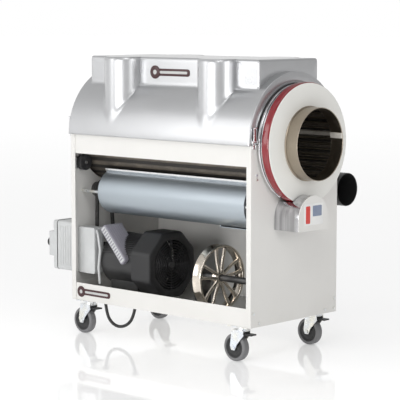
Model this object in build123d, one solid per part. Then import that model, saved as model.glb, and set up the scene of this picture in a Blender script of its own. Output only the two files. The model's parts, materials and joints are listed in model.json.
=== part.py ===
from build123d import *
import math
import os

# Rotary drum trimming machine on four swivel casters.
# Millimetres. X runs along the drum with the in-feed neck at +X, the front faces -Y, +Z is up.
# Everything is laid out about a point on the floor under the middle of the frame, and the
# finished assembly is then moved so that its origin is under the middle of its whole footprint.

# ---------------------------------------------------------------- frame
BODY_LENGTH = 918.0
BODY_DEPTH = 481.4
BODY_HEIGHT = 644.5
APRON_HEIGHT = 67.0
RAIL_HEIGHT = 77.5
SHEET = 3.0
FLANGE = 22.0
RAIL_LIP = 22.0
BOLT_R = 5.5
BOLT_HEIGHT = 3.5
BOLT_EDGE = 14.0
BOLT_LOW = 14.0
BOLT_HIGH = 50.0
BOLT_REAR_STEP = 54.0
BOLT_FRONT_STEP = 32.0

# ---------------------------------------------------------------- fits
RUN_FIT = 0.05
AIR_GAP = 0.4
BELT_GAP = 0.4

# ---------------------------------------------------------------- drum
DRUM_BELOW_TOP = 4.1
CAGE_R = 190.0
CAGE_WALL = 2.5
PANEL_OPENING_GAP = 10.0
COLLAR_RISE = 22.0
COLLAR_LENGTH = 23.0
COLLAR_GAP = 3.0
RING_RISE = 28.0
RING_LENGTH = 31.0
DISC_THICKNESS = 3.0
DISC_RIM_STEP = 3.0
NECK_R = 130.0
NECK_WALL = 3.5
NECK_LENGTH = 54.0
EXIT_RIM_LENGTH = 12.0
EXIT_RIM_RISE = 6.0
CAGE_WINDOW_ROWS = 12
CAGE_WINDOW_LENGTH = 180.0
CAGE_WINDOW_PITCH = 200.0
CAGE_WINDOW_COUNT = 4
CAGE_WINDOW_WIDTH = 44.0

# ---------------------------------------------------------------- hood
HOOD_OVERHANG = 12.3
HOOD_WALL = 4.0
HOOD_GAP = 0.5
HOOD_LIP_REACH = 16.0
HOOD_BOX_INSET = 33.0
HOOD_BOX_DEPTH = 326.0
HOOD_BOX_RISE = 44.6
HOOD_EDGE_R = 9.0
COLUMN_R = 78.0
COLUMN_X = 239.0
HINGE_X = 250.0
HINGE_WIDTH = 60.0
HINGE_PIN_R = 2.5
HINGE_FOOT_HEIGHT = 30.0
HINGE_BACK = 3.0
HINGE_LEAF_HEIGHT = 36.0
KNUCKLE_R = 6.0
KNUCKLE_GAP = 0.5
HINGE_STANDOFF = 9.0
LATCH_INSET = 22.0
LATCH_STANDOFF = 7.0
LATCH_RISE = 9.0
LATCH_PIN_R = 2.0
LATCH_LENGTH = 52.0
LATCH_BARREL_R = 4.5
LATCH_HALF_WIDTH = 7.5
LATCH_BASE_HALF_WIDTH = 11.0
LATCH_EAR = 2.5

# ---------------------------------------------------------------- cutting reel and its trough
REEL_Y = -110.0
REEL_R = 57.0
REEL_HUB_R = 18.0
REEL_BLADES = 8
REEL_BLADE_THICKNESS = 3.0
REEL_DRUM_GAP = 1.1
REEL_END_GAP = 5.0
TROUGH_CLEARANCE = 28.0
TROUGH_WALL = 3.0
TROUGH_LEFT_GAP = 96.0
TROUGH_RIGHT_GAP = 71.0
TROUGH_DRUM_GAP = 4.0
KNIFE_GAP = 0.6
KNIFE_ANGLE = 106.0
SPACER_R = 6.0
SPACER_INSET = 11.0
DUCT_FROM_END = 60.0
DUCT_WIDTH = 130.0
DUCT_HEIGHT = 106.0
DUCT_ABOVE_REEL = 12.0
OUTLET_R = 62.0
OUTLET_BEHIND = 87.3
OUTLET_ABOVE_DUCT = 16.0
OUTLET_REACH = 180.0
OUTLET_WALL = 3.0
OUTLET_MARGIN = 10.0
OUTLET_ROOM = 6.0
OUTLET_CORNER_R = 30.0

# ---------------------------------------------------------------- drive
SHAFT_R = 10.0
JACK_SHAFT_R = 12.0
BEARING_R = 28.0
BEARING_LENGTH = 16.0
MOTOR_Y = -100.0
MOTOR_ABOVE_BASE = 158.0
MOTOR_R = 98.0
MOTOR_SHAFT_R = 12.0
MOTOR_FROM_END = 100.0
MOTOR_LENGTH = 206.0
MOTOR_NOSE = 16.0
MOTOR_NOSE_STEP = 30.0
MOTOR_WALL = 16.0
MOTOR_FOOT = 10.0
FAN_LENGTH = 95.0
FAN_FLATS = 250.0
FAN_WALL = 14.0
FAN_FACE = 5.0
FAN_SLOTS = ((30.0, 42.0), (54.0, 66.0), (78.0, 90.0))
FAN_BRIDGE = 10.0
COVER_FROM_NOSE = 97.0
COVER_ABOVE_MOTOR = 69.0
COVER_BEFORE_MOTOR = 70.5
COVER_LENGTH = 172.0
COVER_WIDTH = 34.0
COVER_DEPTH = 89.0
COVER_CORNER_R = 8.0
COVER_EDGE_R = 4.0
COVER_TILT = 48.0
JACK_Y = -100.0
JACK_ABOVE_BASE = 136.0
DRIVE_Y = -33.0
DRIVE_ROLLER_R = 30.0
DRIVE_HOLE_GAP = 6.0
DRIVE_SHAFT_END = 14.0
BELT_WIDTH = 14.0
BELT_THICKNESS = 8.0
FLANGE_RISE = 9.0
PULLEY_FLANGE = 3.0
MOTOR_BELT_GAP = 15.0
REEL_BELT_GAP = 4.0
BELT_SPACING = 6.0
MOTOR_PULLEY_R = 45.0
REEL_LEFT_PULLEY_R = 30.0
REEL_RIGHT_PULLEY_R = 25.0
JACK_LARGE_PULLEY_R = 90.0
JACK_SMALL_PULLEY_R = 25.0
DRIVE_PULLEY_R = 42.0
FLYWHEEL_X = 180.0
FLYWHEEL_R = 123.0
FLYWHEEL_RIM = 15.0
FLYWHEEL_WIDTH = 40.0
FLYWHEEL_HUB_R = 24.0
FLYWHEEL_SPOKES = 5
SPOKE_INNER = 4.0
SPOKE_OUTER = 13.0
PILLOW_X = 100.0
PILLOW_R = 34.0
PILLOW_HALF_WIDTH = 11.0
PILLOW_FOOT_REACH = 58.0
PILLOW_FOOT = 14.0

# ---------------------------------------------------------------- support rollers
ROLLER_R = 30.0
ROLLER_WIDTH = 21.0
ROLLER_AXLE_R = 6.0
ROLLER_END_GAP = 1.0
BRACKET_THICKNESS = 6.0
BRACKET_IN = 20.0
BRACKET_OUT = 32.0
BRACKET_HALF_HEIGHT = 22.0

# ---------------------------------------------------------------- drive guard
GUARD_HALF_WIDTH = 82.0
GUARD_LENGTH = 112.0
GUARD_BELOW_DRUM = 178.4
GUARD_HEIGHT = 124.0
GUARD_WALL = 3.0
GUARD_RING_GAP = 4.0

# ---------------------------------------------------------------- electrical boxes
BOX_FRONT_INSET = 20.7
BOX_WIDTH = 124.0
BOX_ABOVE_BASE = 103.0
BOX_HEIGHT = 192.0
BOX_DEPTH = 104.0
BOX_WALL = 4.0
BOX_CORNER_R = 10.0
LID_DEPTH = 22.0
KNOB_ACROSS = 30.0
KNOB_UP = 100.0
KNOB_R = 17.0
KNOB_LENGTH = 20.0
KNOB_GRIP = 4.0
SPINDLE_R = 4.0
SWITCH_PLATE = 30.0
SWITCH_HALF_WIDTH = 26.0
SWITCH_BELOW = 50.0
SWITCH_ABOVE = 46.0
CASE_LENGTH = 94.0
CASE_INSET = 8.0
CASE_DEPTH = 48.0
CASE_HEIGHT = 178.0
CASE_CORNER_R = 8.0
CONDUIT_R = 5.0
CONDUIT_BEND_R = 10.0

# ---------------------------------------------------------------- casters
CASTER_END_INSET = 66.0
CASTER_SIDE_INSET = 34.7
CASTER_WHEEL_R = 50.0
CASTER_HEADROOM = 32.0
CASTER_TREAD = 12.0
CASTER_WIDTH = 32.0
CASTER_TRAIL = 30.0
CASTER_AXLE_R = 4.0
CASTER_PLATE = 4.0
CASTER_PLATE_LENGTH = 92.0
CASTER_PLATE_WIDTH = 66.0
KINGPIN_R = 6.0
FORK_LEG = 3.0
FORK_SIDE_GAP = 1.5
FORK_HEAD_R = 21.0
FORK_BRIDGE = 4.0
FORK_BRIDGE_RISE = 8.0
PEDAL_PIN_R = 2.5
PEDAL_PIN_X = 14.0
PEDAL_PIN_RISE = 4.0
PEDAL_BARREL_R = 5.0
PEDAL_END_X = 50.0
PEDAL_THICKNESS = 5.0
PEDAL_SIDE_GAP = 0.6

# ---------------------------------------------------------------- power cord under the base
CORD_R = 6.0
CORD_POINTS = [
    (-325.0, -190.0, 124.0),
    (-317.0, -191.0, 82.0),
    (-288.0, -194.0, 52.0),
    (-246.0, -197.0, 41.5),
    (-204.0, -195.0, 53.0),
    (-176.0, -190.0, 84.0),
    (-168.0, -187.0, 124.0),
]
GLAND_R = 13.0
GLAND_DROP = 8.0

# ---------------------------------------------------------------- worked-out values
HALF_LENGTH = BODY_LENGTH / 2
HALF_DEPTH = BODY_DEPTH / 2
PANEL_IN = HALF_LENGTH - SHEET
SKIN_Y = HALF_DEPTH - SHEET
AXLE_Z = CASTER_WHEEL_R
BASE_Z = 2 * CASTER_WHEEL_R + CASTER_HEADROOM
BASE_TOP = BASE_Z + APRON_HEIGHT
BASE_FLOOR = BASE_Z + SHEET
FRAME_TOP_Z = BASE_Z + BODY_HEIGHT

DRUM_Z = FRAME_TOP_Z - DRUM_BELOW_TOP
PANEL_OPENING_R = CAGE_R + PANEL_OPENING_GAP
COLLAR_R = CAGE_R + COLLAR_RISE
RING_R = CAGE_R + RING_RISE
COLLAR_X = HALF_LENGTH + COLLAR_GAP
RING_X = COLLAR_X + COLLAR_LENGTH
RING_END_X = RING_X + RING_LENGTH
DISC_END_X = RING_END_X + DISC_THICKNESS
NECK_END_X = DISC_END_X + NECK_LENGTH
NECK_BORE_R = NECK_R - NECK_WALL

HOOD_R = HALF_DEPTH + HOOD_OVERHANG
HOOD_SEAM_Z = FRAME_TOP_Z + HOOD_GAP
HOOD_TOP_Z = DRUM_Z + HOOD_R + HOOD_BOX_RISE
HOOD_BOX_LENGTH = BODY_LENGTH - 2 * HOOD_BOX_INSET
HINGE_Y = HOOD_R + HINGE_STANDOFF
HINGE_Z = HOOD_SEAM_Z
LATCH_X = HALF_LENGTH + LATCH_STANDOFF
LATCH_Y = LATCH_INSET - HOOD_R
LATCH_Z = HOOD_SEAM_Z + LATCH_RISE

REEL_DRUM_DISTANCE = CAGE_R + REEL_DRUM_GAP + REEL_R
REEL_Z = DRUM_Z - math.sqrt(REEL_DRUM_DISTANCE**2 - REEL_Y**2)
TROUGH_R = REEL_R + TROUGH_CLEARANCE
TROUGH_LEFT_X = TROUGH_LEFT_GAP - PANEL_IN
TROUGH_RIGHT_X = PANEL_IN - TROUGH_RIGHT_GAP
DUCT_X0 = TROUGH_RIGHT_X - DUCT_FROM_END - DUCT_WIDTH
DUCT_X1 = DUCT_X0 + DUCT_WIDTH
DUCT_TOP_Z = REEL_Z + DUCT_ABOVE_REEL
DUCT_FLOOR_Z = DUCT_TOP_Z - DUCT_HEIGHT
OUTLET_Y = SKIN_Y + OUTLET_BEHIND
OUTLET_Z = DUCT_TOP_Z + OUTLET_ABOVE_DUCT
OUTLET_END_X = (DUCT_X0 + DUCT_X1) / 2 + OUTLET_REACH

BEARING_X = PANEL_IN - BEARING_LENGTH
HUB_WIDTH = BELT_WIDTH + 2 * PULLEY_FLANGE
BELT_A_X = HUB_WIDTH / 2 + MOTOR_BELT_GAP - BEARING_X
BELT_B_X = BEARING_X - HUB_WIDTH / 2 - REEL_BELT_GAP
BELT_C_X = BELT_B_X - HUB_WIDTH - BELT_SPACING
MOTOR_Z = BASE_Z + MOTOR_ABOVE_BASE
MOTOR_LEFT_X = MOTOR_FROM_END - PANEL_IN
MOTOR_RIGHT_X = MOTOR_LEFT_X + MOTOR_LENGTH
JACK_Z = BASE_Z + JACK_ABOVE_BASE
DRIVE_REACH = RING_R + DRIVE_ROLLER_R + AIR_GAP
DRIVE_Z = DRUM_Z - math.sqrt(DRIVE_REACH**2 - DRIVE_Y**2)

# Each support roller stands straight below the widest part of the cage.
ROLLER_Y = CAGE_R
ROLLER_REACH = CAGE_R + ROLLER_R + AIR_GAP
ROLLER_Z = DRUM_Z - math.sqrt(ROLLER_REACH**2 - ROLLER_Y**2)
BRACKET_X = PANEL_IN - BRACKET_THICKNESS

GUARD_TOP_Z = DRUM_Z - GUARD_BELOW_DRUM
GUARD_BOTTOM_Z = GUARD_TOP_Z - GUARD_HEIGHT

BOX_Y0 = BOX_FRONT_INSET - HALF_DEPTH
BOX_Y1 = BOX_Y0 + BOX_WIDTH
BOX_Z0 = BASE_Z + BOX_ABOVE_BASE
BOX_Z1 = BOX_Z0 + BOX_HEIGHT
KNOB_Y = BOX_Y0 + KNOB_ACROSS
KNOB_Z = BOX_Z0 + KNOB_UP
CASE_X = CASE_LENGTH - PANEL_IN
CASE_Y = BOX_Y0 + CASE_INSET
CONDUIT_POINTS = [
    (CASE_X + 22.0, CASE_Y + 7.0, BASE_TOP),
    (CASE_X + 16.0, CASE_Y + 6.0, BASE_TOP + 63.0),
    (CASE_X + 24.0, CASE_Y + 7.0, BOX_Z0 + 95.0),
    (CASE_X + 10.0, CASE_Y + 9.0, BOX_Z0 + 157.0),
    (CASE_X, CASE_Y + 12.0, BOX_Z0 + 169.0),
]

CASTER_X = HALF_LENGTH - CASTER_END_INSET
CASTER_Y = HALF_DEPTH - CASTER_SIDE_INSET
CASTERS = {
    "front_left": (-CASTER_X, -CASTER_Y),
    "front_right": (CASTER_X, -CASTER_Y),
    "rear_left": (-CASTER_X, CASTER_Y),
    "rear_right": (CASTER_X, CASTER_Y),
}
PEDAL_PIN_Z = 2 * CASTER_WHEEL_R + PEDAL_PIN_RISE
FORK_TOP_Z = BASE_Z - CASTER_PLATE - AIR_GAP
FORK_BRIDGE_Z = PEDAL_PIN_Z + FORK_BRIDGE_RISE
LEG_IN = CASTER_WIDTH / 2 + FORK_SIDE_GAP
LEG_OUT = LEG_IN + FORK_LEG


# ---------------------------------------------------------------- building blocks
def block(x0, x1, y0, y1, z0, z1):
    return Pos((x0 + x1) / 2, (y0 + y1) / 2, (z0 + z1) / 2) * Box(x1 - x0, y1 - y0, z1 - z0)


def rod_x(x0, x1, y, z, r):
    return Pos((x0 + x1) / 2, y, z) * Rot(0, 90, 0) * Cylinder(r, x1 - x0)


def rod_y(y0, y1, x, z, r):
    return Pos(x, (y0 + y1) / 2, z) * Rot(90, 0, 0) * Cylinder(r, y1 - y0)


def rod_z(z0, z1, x, y, r):
    return Pos(x, y, (z0 + z1) / 2) * Cylinder(r, z1 - z0)


def tube_x(x0, x1, y, z, r, bore):
    return rod_x(x0, x1, y, z, r) - rod_x(x0 - 1, x1 + 1, y, z, bore)


def plate_x(points, x0, x1):
    """A flat outline of (y, z) points, drawn out along X."""
    face = make_face(Polyline(*points, close=True))
    return Pos(x0, 0, 0) * extrude(Plane.YZ * face, x1 - x0)


def plate_y(points, y0, y1):
    """A flat outline of (x, z) points, drawn out along Y."""
    face = make_face(Polyline(*points, close=True))
    return Pos(0, y1, 0) * extrude(Plane.XZ * face, y1 - y0)


def group(solids):
    return Compound([s for shape in solids for s in shape.solids()])


def pair_x(shape):
    """The shape and its mirror image on the other end of the machine."""
    return [shape, mirror(shape, about=Plane.YZ)]


# ---------------------------------------------------------------- frame
def side_panel():
    panel = block(PANEL_IN, HALF_LENGTH, -HALF_DEPTH, HALF_DEPTH, BASE_Z, FRAME_TOP_Z)
    for y0 in (-HALF_DEPTH, SKIN_Y):
        panel += block(HALF_LENGTH - FLANGE, PANEL_IN, y0, y0 + SHEET, BASE_Z, FRAME_TOP_Z)
    return panel - rod_x(PANEL_IN - 1, HALF_LENGTH + 1, 0, DRUM_Z, PANEL_OPENING_R)


def side_panel_right():
    shaft_hole = SHAFT_R + DRIVE_HOLE_GAP
    return side_panel() - rod_x(PANEL_IN - 1, HALF_LENGTH + 1, DRIVE_Y, DRIVE_Z, shaft_hole)


def side_panel_left():
    return mirror(side_panel(), about=Plane.YZ)


def base_pan():
    pan = block(-PANEL_IN, PANEL_IN, -SKIN_Y, SKIN_Y, BASE_Z, BASE_TOP)
    inner = block(-PANEL_IN + SHEET, PANEL_IN - SHEET, -SKIN_Y + SHEET, SKIN_Y - SHEET,
                  BASE_FLOOR, BASE_TOP + 1)
    return pan - inner


def front_rail():
    bottom = FRAME_TOP_Z - RAIL_HEIGHT
    rail = block(-PANEL_IN, PANEL_IN, -SKIN_Y, -SKIN_Y + SHEET, bottom, FRAME_TOP_Z)
    for z in (bottom, FRAME_TOP_Z - SHEET):
        rail += block(-PANEL_IN, PANEL_IN, -SKIN_Y + SHEET, -SKIN_Y + RAIL_LIP, z, z + SHEET)
    return rail


def rear_panel():
    panel = block(-PANEL_IN, PANEL_IN, SKIN_Y - SHEET, SKIN_Y, BASE_TOP, FRAME_TOP_Z)
    hole = block(DUCT_X0, DUCT_X1, SKIN_Y - SHEET - 1, SKIN_Y + 1, DUCT_FLOOR_Z, DUCT_TOP_Z)
    return panel - hole


def hex_head(x, y, z):
    return Pos(x, y, z) * extrude(Plane.YZ * RegularPolygon(BOLT_R, 6), BOLT_HEIGHT)


def panel_bolts():
    low = BASE_Z + BOLT_LOW
    high = BASE_Z + BOLT_HIGH
    near = HALF_DEPTH - BOLT_EDGE
    places = [(-near, high), (near, high), (near, low), (near - BOLT_REAR_STEP, low),
              (-near + BOLT_FRONT_STEP, low)]
    for side in (-1, 1):
        places += [(side * (ROLLER_Y + 21.0), ROLLER_Z - 7.0)]
        places += [(side * (ROLLER_Y + 21.0), ROLLER_Z + 9.0)]
    heads = [hex_head(HALF_LENGTH, y, z) for y, z in places]
    return group(shape for head in heads for shape in pair_x(head))


# ---------------------------------------------------------------- suction trough
def trough():
    outer = rod_x(TROUGH_LEFT_X, TROUGH_RIGHT_X, REEL_Y, REEL_Z, TROUGH_R)
    inner = rod_x(TROUGH_LEFT_X + TROUGH_WALL, TROUGH_RIGHT_X - TROUGH_WALL, REEL_Y, REEL_Z,
                  TROUGH_R - TROUGH_WALL)
    duct = block(DUCT_X0, DUCT_X1, REEL_Y, SKIN_Y - SHEET, DUCT_FLOOR_Z, DUCT_TOP_Z)
    bore = block(DUCT_X0 + TROUGH_WALL, DUCT_X1 - TROUGH_WALL, REEL_Y,
                 SKIN_Y - SHEET + 1, DUCT_FLOOR_Z + TROUGH_WALL, DUCT_TOP_Z - TROUGH_WALL)
    shell = (outer + duct) - inner - bore
    shell -= rod_x(-HALF_LENGTH, HALF_LENGTH, 0, DRUM_Z, CAGE_R + TROUGH_DRUM_GAP)
    shell -= rod_x(-HALF_LENGTH, HALF_LENGTH, REEL_Y, REEL_Z, SHAFT_R + 4.0)
    knife = plate_x(knife_outline(), TROUGH_LEFT_X - 1, TROUGH_RIGHT_X + 1)
    return shell - knife


def knife_outline():
    """The fixed knife stands on the reel's front upper side, its edge just clear of the blades."""
    edge = REEL_R + AIR_GAP + KNIFE_GAP
    back_angle = math.radians(KNIFE_ANGLE)
    tip = (REEL_Y + edge * math.cos(back_angle), REEL_Z + edge * math.sin(back_angle))
    top_z = REEL_Z + TROUGH_R + 5.0
    front_y = tip[0] - 28.0
    return [tip, (tip[0] - 6.0, tip[1] + 18.0), (tip[0] - 16.0, top_z), (front_y, top_z),
            (front_y, top_z - 6.0), (tip[0] - 5.0, tip[1] + 1.0)]


def fixed_knife():
    return plate_x(knife_outline(), TROUGH_LEFT_X, TROUGH_RIGHT_X)


def trough_spacers():
    reach = TROUGH_R - SPACER_INSET
    left = [(-1.0, 0.0), (1.0, 0.0)]
    right = [(-1.0, 0.0), (-0.72, 0.69)]
    rods = []
    for dy, dz in left:
        rods.append(rod_x(-PANEL_IN, TROUGH_LEFT_X, REEL_Y + dy * reach, REEL_Z + dz * reach,
                          SPACER_R))
    for dy, dz in right:
        rods.append(rod_x(TROUGH_RIGHT_X, PANEL_IN, REEL_Y + dy * reach, REEL_Z + dz * reach,
                          SPACER_R))
    return group(rods)


def outlet_box():
    x0 = DUCT_X0 - OUTLET_MARGIN
    x1 = DUCT_X1 + OUTLET_MARGIN
    y1 = OUTLET_Y + OUTLET_R + OUTLET_ROOM
    z0 = DUCT_FLOOR_Z - OUTLET_MARGIN
    z1 = OUTLET_Z + OUTLET_R + OUTLET_ROOM
    shell = block(x0, x1, SKIN_Y, y1, z0, z1)
    shell = fillet(shell.edges().filter_by(Axis.X).group_by(Axis.Y)[-1], OUTLET_CORNER_R)
    shell += rod_x(x1 - 1, OUTLET_END_X, OUTLET_Y, OUTLET_Z, OUTLET_R)
    hollow = block(x0 + OUTLET_WALL, x1 - OUTLET_WALL, SKIN_Y + OUTLET_WALL, y1 - OUTLET_WALL,
                   z0 + OUTLET_WALL, z1 - OUTLET_WALL)
    hollow = fillet(hollow.edges().filter_by(Axis.X).group_by(Axis.Y)[-1],
                    OUTLET_CORNER_R - OUTLET_WALL)
    mouth = block(DUCT_X0, DUCT_X1, SKIN_Y - 1, SKIN_Y + OUTLET_WALL + 1, DUCT_FLOOR_Z, DUCT_TOP_Z)
    bore = rod_x(DUCT_X0, OUTLET_END_X + 1, OUTLET_Y, OUTLET_Z, OUTLET_R - OUTLET_WALL)
    return shell - hollow - mouth - bore


# ---------------------------------------------------------------- hood and its fittings
def hood_form(inset):
    """The hood's outline, inset by a wall thickness: a half round, a raised box, four columns."""
    half = HALF_LENGTH - inset
    box_x = HOOD_BOX_LENGTH / 2 - inset
    box_y = HOOD_BOX_DEPTH / 2 - inset
    top = HOOD_TOP_Z - inset
    raised = block(-box_x, box_x, -box_y, box_y, HOOD_SEAM_Z, top)
    for x in (-COLUMN_X, COLUMN_X):
        for y in (-HOOD_BOX_DEPTH / 2, HOOD_BOX_DEPTH / 2):
            raised += rod_z(HOOD_SEAM_Z, top, x, y, COLUMN_R - inset)
    if inset == 0:
        raised = fillet(raised.edges().group_by(Axis.Z)[-1], HOOD_EDGE_R)
    form = raised + rod_x(-half, half, 0, DRUM_Z, HOOD_R - inset)
    below = block(-HALF_LENGTH - 1, HALF_LENGTH + 1, -HOOD_R - 1, HOOD_R + 1,
                  DRUM_Z - HOOD_R - 1, HOOD_SEAM_Z)
    return form - below


def hood():
    shell = hood_form(0) - hood_form(HOOD_WALL)
    shell -= rod_x(-HALF_LENGTH - 1, HALF_LENGTH + 1, 0, DRUM_Z, PANEL_OPENING_R)
    lip_in = HALF_DEPTH - HOOD_LIP_REACH
    inner_y = math.sqrt((HOOD_R - HOOD_WALL)**2 - (HOOD_SEAM_Z - DRUM_Z)**2)
    for side in (-1, 1):
        y0, y1 = sorted((side * lip_in, side * (inner_y + 1.5)))
        shell += block(-HALF_LENGTH + HOOD_WALL, HALF_LENGTH - HOOD_WALL, y0, y1,
                       HOOD_SEAM_Z, HOOD_SEAM_Z + HOOD_WALL)
    return shell


def hinge_barrel(x0, x1):
    return rod_x(x0, x1, HINGE_Y, HINGE_Z, KNUCKLE_R)


def hinge_blocks():
    """On the frame: a foot, two outer knuckles and the pin through them."""
    parts = []
    split = HINGE_WIDTH / 4
    for x in (-HINGE_X, HINGE_X):
        x0 = x - HINGE_WIDTH / 2
        x1 = x + HINGE_WIDTH / 2
        low = HINGE_Z - HINGE_FOOT_HEIGHT
        back = HINGE_Y + HINGE_BACK
        foot = block(x0, x1, SKIN_Y, back, low, HINGE_Z - 2 * KNUCKLE_R)
        for a, b in ((x0, x0 + split), (x1 - split, x1)):
            foot += block(a, b, HINGE_Y - KNUCKLE_R + 1.0, back, low, HINGE_Z)
            foot += hinge_barrel(a, b)
        foot += rod_x(x0, x1, HINGE_Y, HINGE_Z, HINGE_PIN_R)
        parts.append(foot)
    return group(parts)


def hinge_leaves():
    """On the hood: a curved leaf that follows the hood's back, and the middle knuckle."""
    parts = []
    split = HINGE_WIDTH / 4
    leaf_r = HOOD_R + SHEET
    for x in (-HINGE_X, HINGE_X):
        x0 = x - HINGE_WIDTH / 2 + split + KNUCKLE_GAP
        x1 = x + HINGE_WIDTH / 2 - split - KNUCKLE_GAP
        zone = block(x0, x1, HALF_DEPTH, HINGE_Y, HOOD_SEAM_Z, HOOD_SEAM_Z + HINGE_LEAF_HEIGHT)
        leaf = rod_x(x0, x1, 0, DRUM_Z, leaf_r) & zone
        leaf += hinge_barrel(x0, x1)
        leaf -= rod_x(x0 - 1, x1 + 1, 0, DRUM_Z, HOOD_R)
        parts.append(leaf - rod_x(x0 - 1, x1 + 1, HINGE_Y, HINGE_Z, HINGE_PIN_R + RUN_FIT))
    return group(parts)


def latch_base():
    """On the hood's end wall, near the front corner: a plate with two ears and the pin."""
    y0 = LATCH_Y - LATCH_BASE_HALF_WIDTH
    y1 = LATCH_Y + LATCH_BASE_HALF_WIDTH
    face = HALF_LENGTH + 2.0
    base = block(HALF_LENGTH, face, y0, y1, LATCH_Z - 4.0, LATCH_Z + LATCH_LENGTH - 5.0)
    for a in (y0, y1 - LATCH_EAR):
        base += block(face, LATCH_X + 3.0, a, a + LATCH_EAR, LATCH_Z - 4.0, LATCH_Z + 5.0)
    return base + rod_y(y0, y1, LATCH_X, LATCH_Z, LATCH_PIN_R)


def latch_lever():
    y0 = LATCH_Y - LATCH_HALF_WIDTH
    y1 = LATCH_Y + LATCH_HALF_WIDTH
    lever = rod_y(y0, y1, LATCH_X, LATCH_Z, LATCH_BARREL_R)
    lever += block(LATCH_X + 1.8, LATCH_X + LATCH_BARREL_R, y0, y1, LATCH_Z,
                   LATCH_Z + LATCH_LENGTH)
    lever += block(LATCH_X + 1.8, LATCH_X + 7.5, y0, y1, LATCH_Z + LATCH_LENGTH - 3.0,
                   LATCH_Z + LATCH_LENGTH)
    return lever - rod_y(y0 - 1, y1 + 1, LATCH_X, LATCH_Z, LATCH_PIN_R + RUN_FIT)


def latch_keepers():
    y0 = LATCH_Y - LATCH_HALF_WIDTH
    y1 = LATCH_Y + LATCH_HALF_WIDTH
    shelf = FRAME_TOP_Z - 3.0
    keeper = block(HALF_LENGTH, LATCH_X, y0, y1, shelf - 11.0, shelf)
    keeper += block(LATCH_X - 3.5, LATCH_X, y0, y1, shelf, LATCH_Z - LATCH_BARREL_R - AIR_GAP)
    return group(pair_x(keeper))


# ---------------------------------------------------------------- drum
def drum_cage():
    left = -HALF_LENGTH - EXIT_RIM_LENGTH
    cage = tube_x(left, RING_X, 0, DRUM_Z, CAGE_R, CAGE_R - CAGE_WALL)
    first = -CAGE_WINDOW_PITCH * (CAGE_WINDOW_COUNT - 1) / 2
    half = CAGE_WINDOW_LENGTH / 2
    for row in range(CAGE_WINDOW_ROWS // 2):
        turn = Pos(0, 0, DRUM_Z) * Rot(180.0 * row / (CAGE_WINDOW_ROWS // 2), 0, 0)
        for number in range(CAGE_WINDOW_COUNT):
            x = first + number * CAGE_WINDOW_PITCH
            window = Box(2 * half, CAGE_WINDOW_WIDTH, 2 * CAGE_R + 10)
            cage -= turn * Pos(x, 0, 0) * window
    return cage


def drum_collars():
    right = tube_x(COLLAR_X, RING_X, 0, DRUM_Z, COLLAR_R, CAGE_R)
    left = -HALF_LENGTH - EXIT_RIM_LENGTH
    exit_rim = tube_x(left, -COLLAR_X, 0, DRUM_Z, PANEL_OPENING_R + EXIT_RIM_RISE, CAGE_R)
    return group([right, exit_rim])


def drum_drive_ring():
    return tube_x(RING_X, RING_END_X, 0, DRUM_Z, RING_R, CAGE_R - CAGE_WALL)


def drum_disc():
    return tube_x(RING_END_X, DISC_END_X, 0, DRUM_Z, RING_R - DISC_RIM_STEP, NECK_BORE_R)


def drum_neck():
    return tube_x(DISC_END_X, NECK_END_X, 0, DRUM_Z, NECK_R, NECK_BORE_R)


def support_roller(side_x, side_y):
    x1 = BRACKET_X - ROLLER_END_GAP
    roller = tube_x(x1 - ROLLER_WIDTH, x1, side_y * ROLLER_Y, ROLLER_Z, ROLLER_R,
                    ROLLER_AXLE_R + RUN_FIT)
    return roller if side_x > 0 else mirror(roller, about=Plane.YZ)


def roller_brackets():
    """A plate on each side panel with the fixed axle that its roller turns on."""
    parts = []
    axle_x = BRACKET_X - ROLLER_WIDTH - 4 * ROLLER_END_GAP
    for side in (-1, 1):
        y0, y1 = sorted((side * (ROLLER_Y - BRACKET_IN), side * (ROLLER_Y + BRACKET_OUT)))
        plate = block(BRACKET_X, PANEL_IN, y0, y1, ROLLER_Z - BRACKET_HALF_HEIGHT,
                      ROLLER_Z + BRACKET_HALF_HEIGHT)
        plate += rod_x(axle_x, PANEL_IN, side * ROLLER_Y, ROLLER_Z, ROLLER_AXLE_R)
        parts += pair_x(plate)
    return group(parts)


# ---------------------------------------------------------------- reel, pulleys, belts
def cutting_reel():
    """A long shaft, a hub and straight blades that turn just clear of the drum and the knife."""
    x0 = TROUGH_LEFT_X + TROUGH_WALL + REEL_END_GAP
    x1 = TROUGH_RIGHT_X - TROUGH_WALL - REEL_END_GAP
    reel = rod_x(x0, x1, 0, 0, REEL_HUB_R) + rod_x(-PANEL_IN + 4, PANEL_IN - 4, 0, 0, SHAFT_R)
    for number in range(REEL_BLADES):
        blade = block(x0, x1, REEL_HUB_R - 2.0, REEL_R - 0.1, -REEL_BLADE_THICKNESS / 2,
                      REEL_BLADE_THICKNESS / 2)
        reel += Rot(360.0 * number / REEL_BLADES, 0, 0) * blade
    return Pos(0, REEL_Y, REEL_Z) * reel


def pulley(x, y, z, r, bore):
    """A flat-bottomed pulley with a flange at each side of its belt."""
    half = HUB_WIDTH / 2
    wheel = rod_x(x - half, x + half, y, z, r + FLANGE_RISE)
    groove = tube_x(x - BELT_WIDTH / 2 - 0.5, x + BELT_WIDTH / 2 + 0.5, y, z, r + FLANGE_RISE + 1, r)
    return wheel - groove - rod_x(x - half - 1, x + half + 1, y, z, bore)


def belt(x, y0, z0, r0, y1, z1, r1):
    """A band that wraps two pulleys: the hull of two circles, less the same hull inside it."""
    bands = []
    for grow in (BELT_GAP + BELT_THICKNESS, BELT_GAP):
        ends = (Pos(y0, z0) * Circle(r0 + grow)).edges() + (Pos(y1, z1) * Circle(r1 + grow)).edges()
        bands.append(extrude(Plane.YZ * make_hull(ends), BELT_WIDTH))
    return Pos(x - BELT_WIDTH / 2, 0, 0) * (bands[0] - bands[1])


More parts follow.
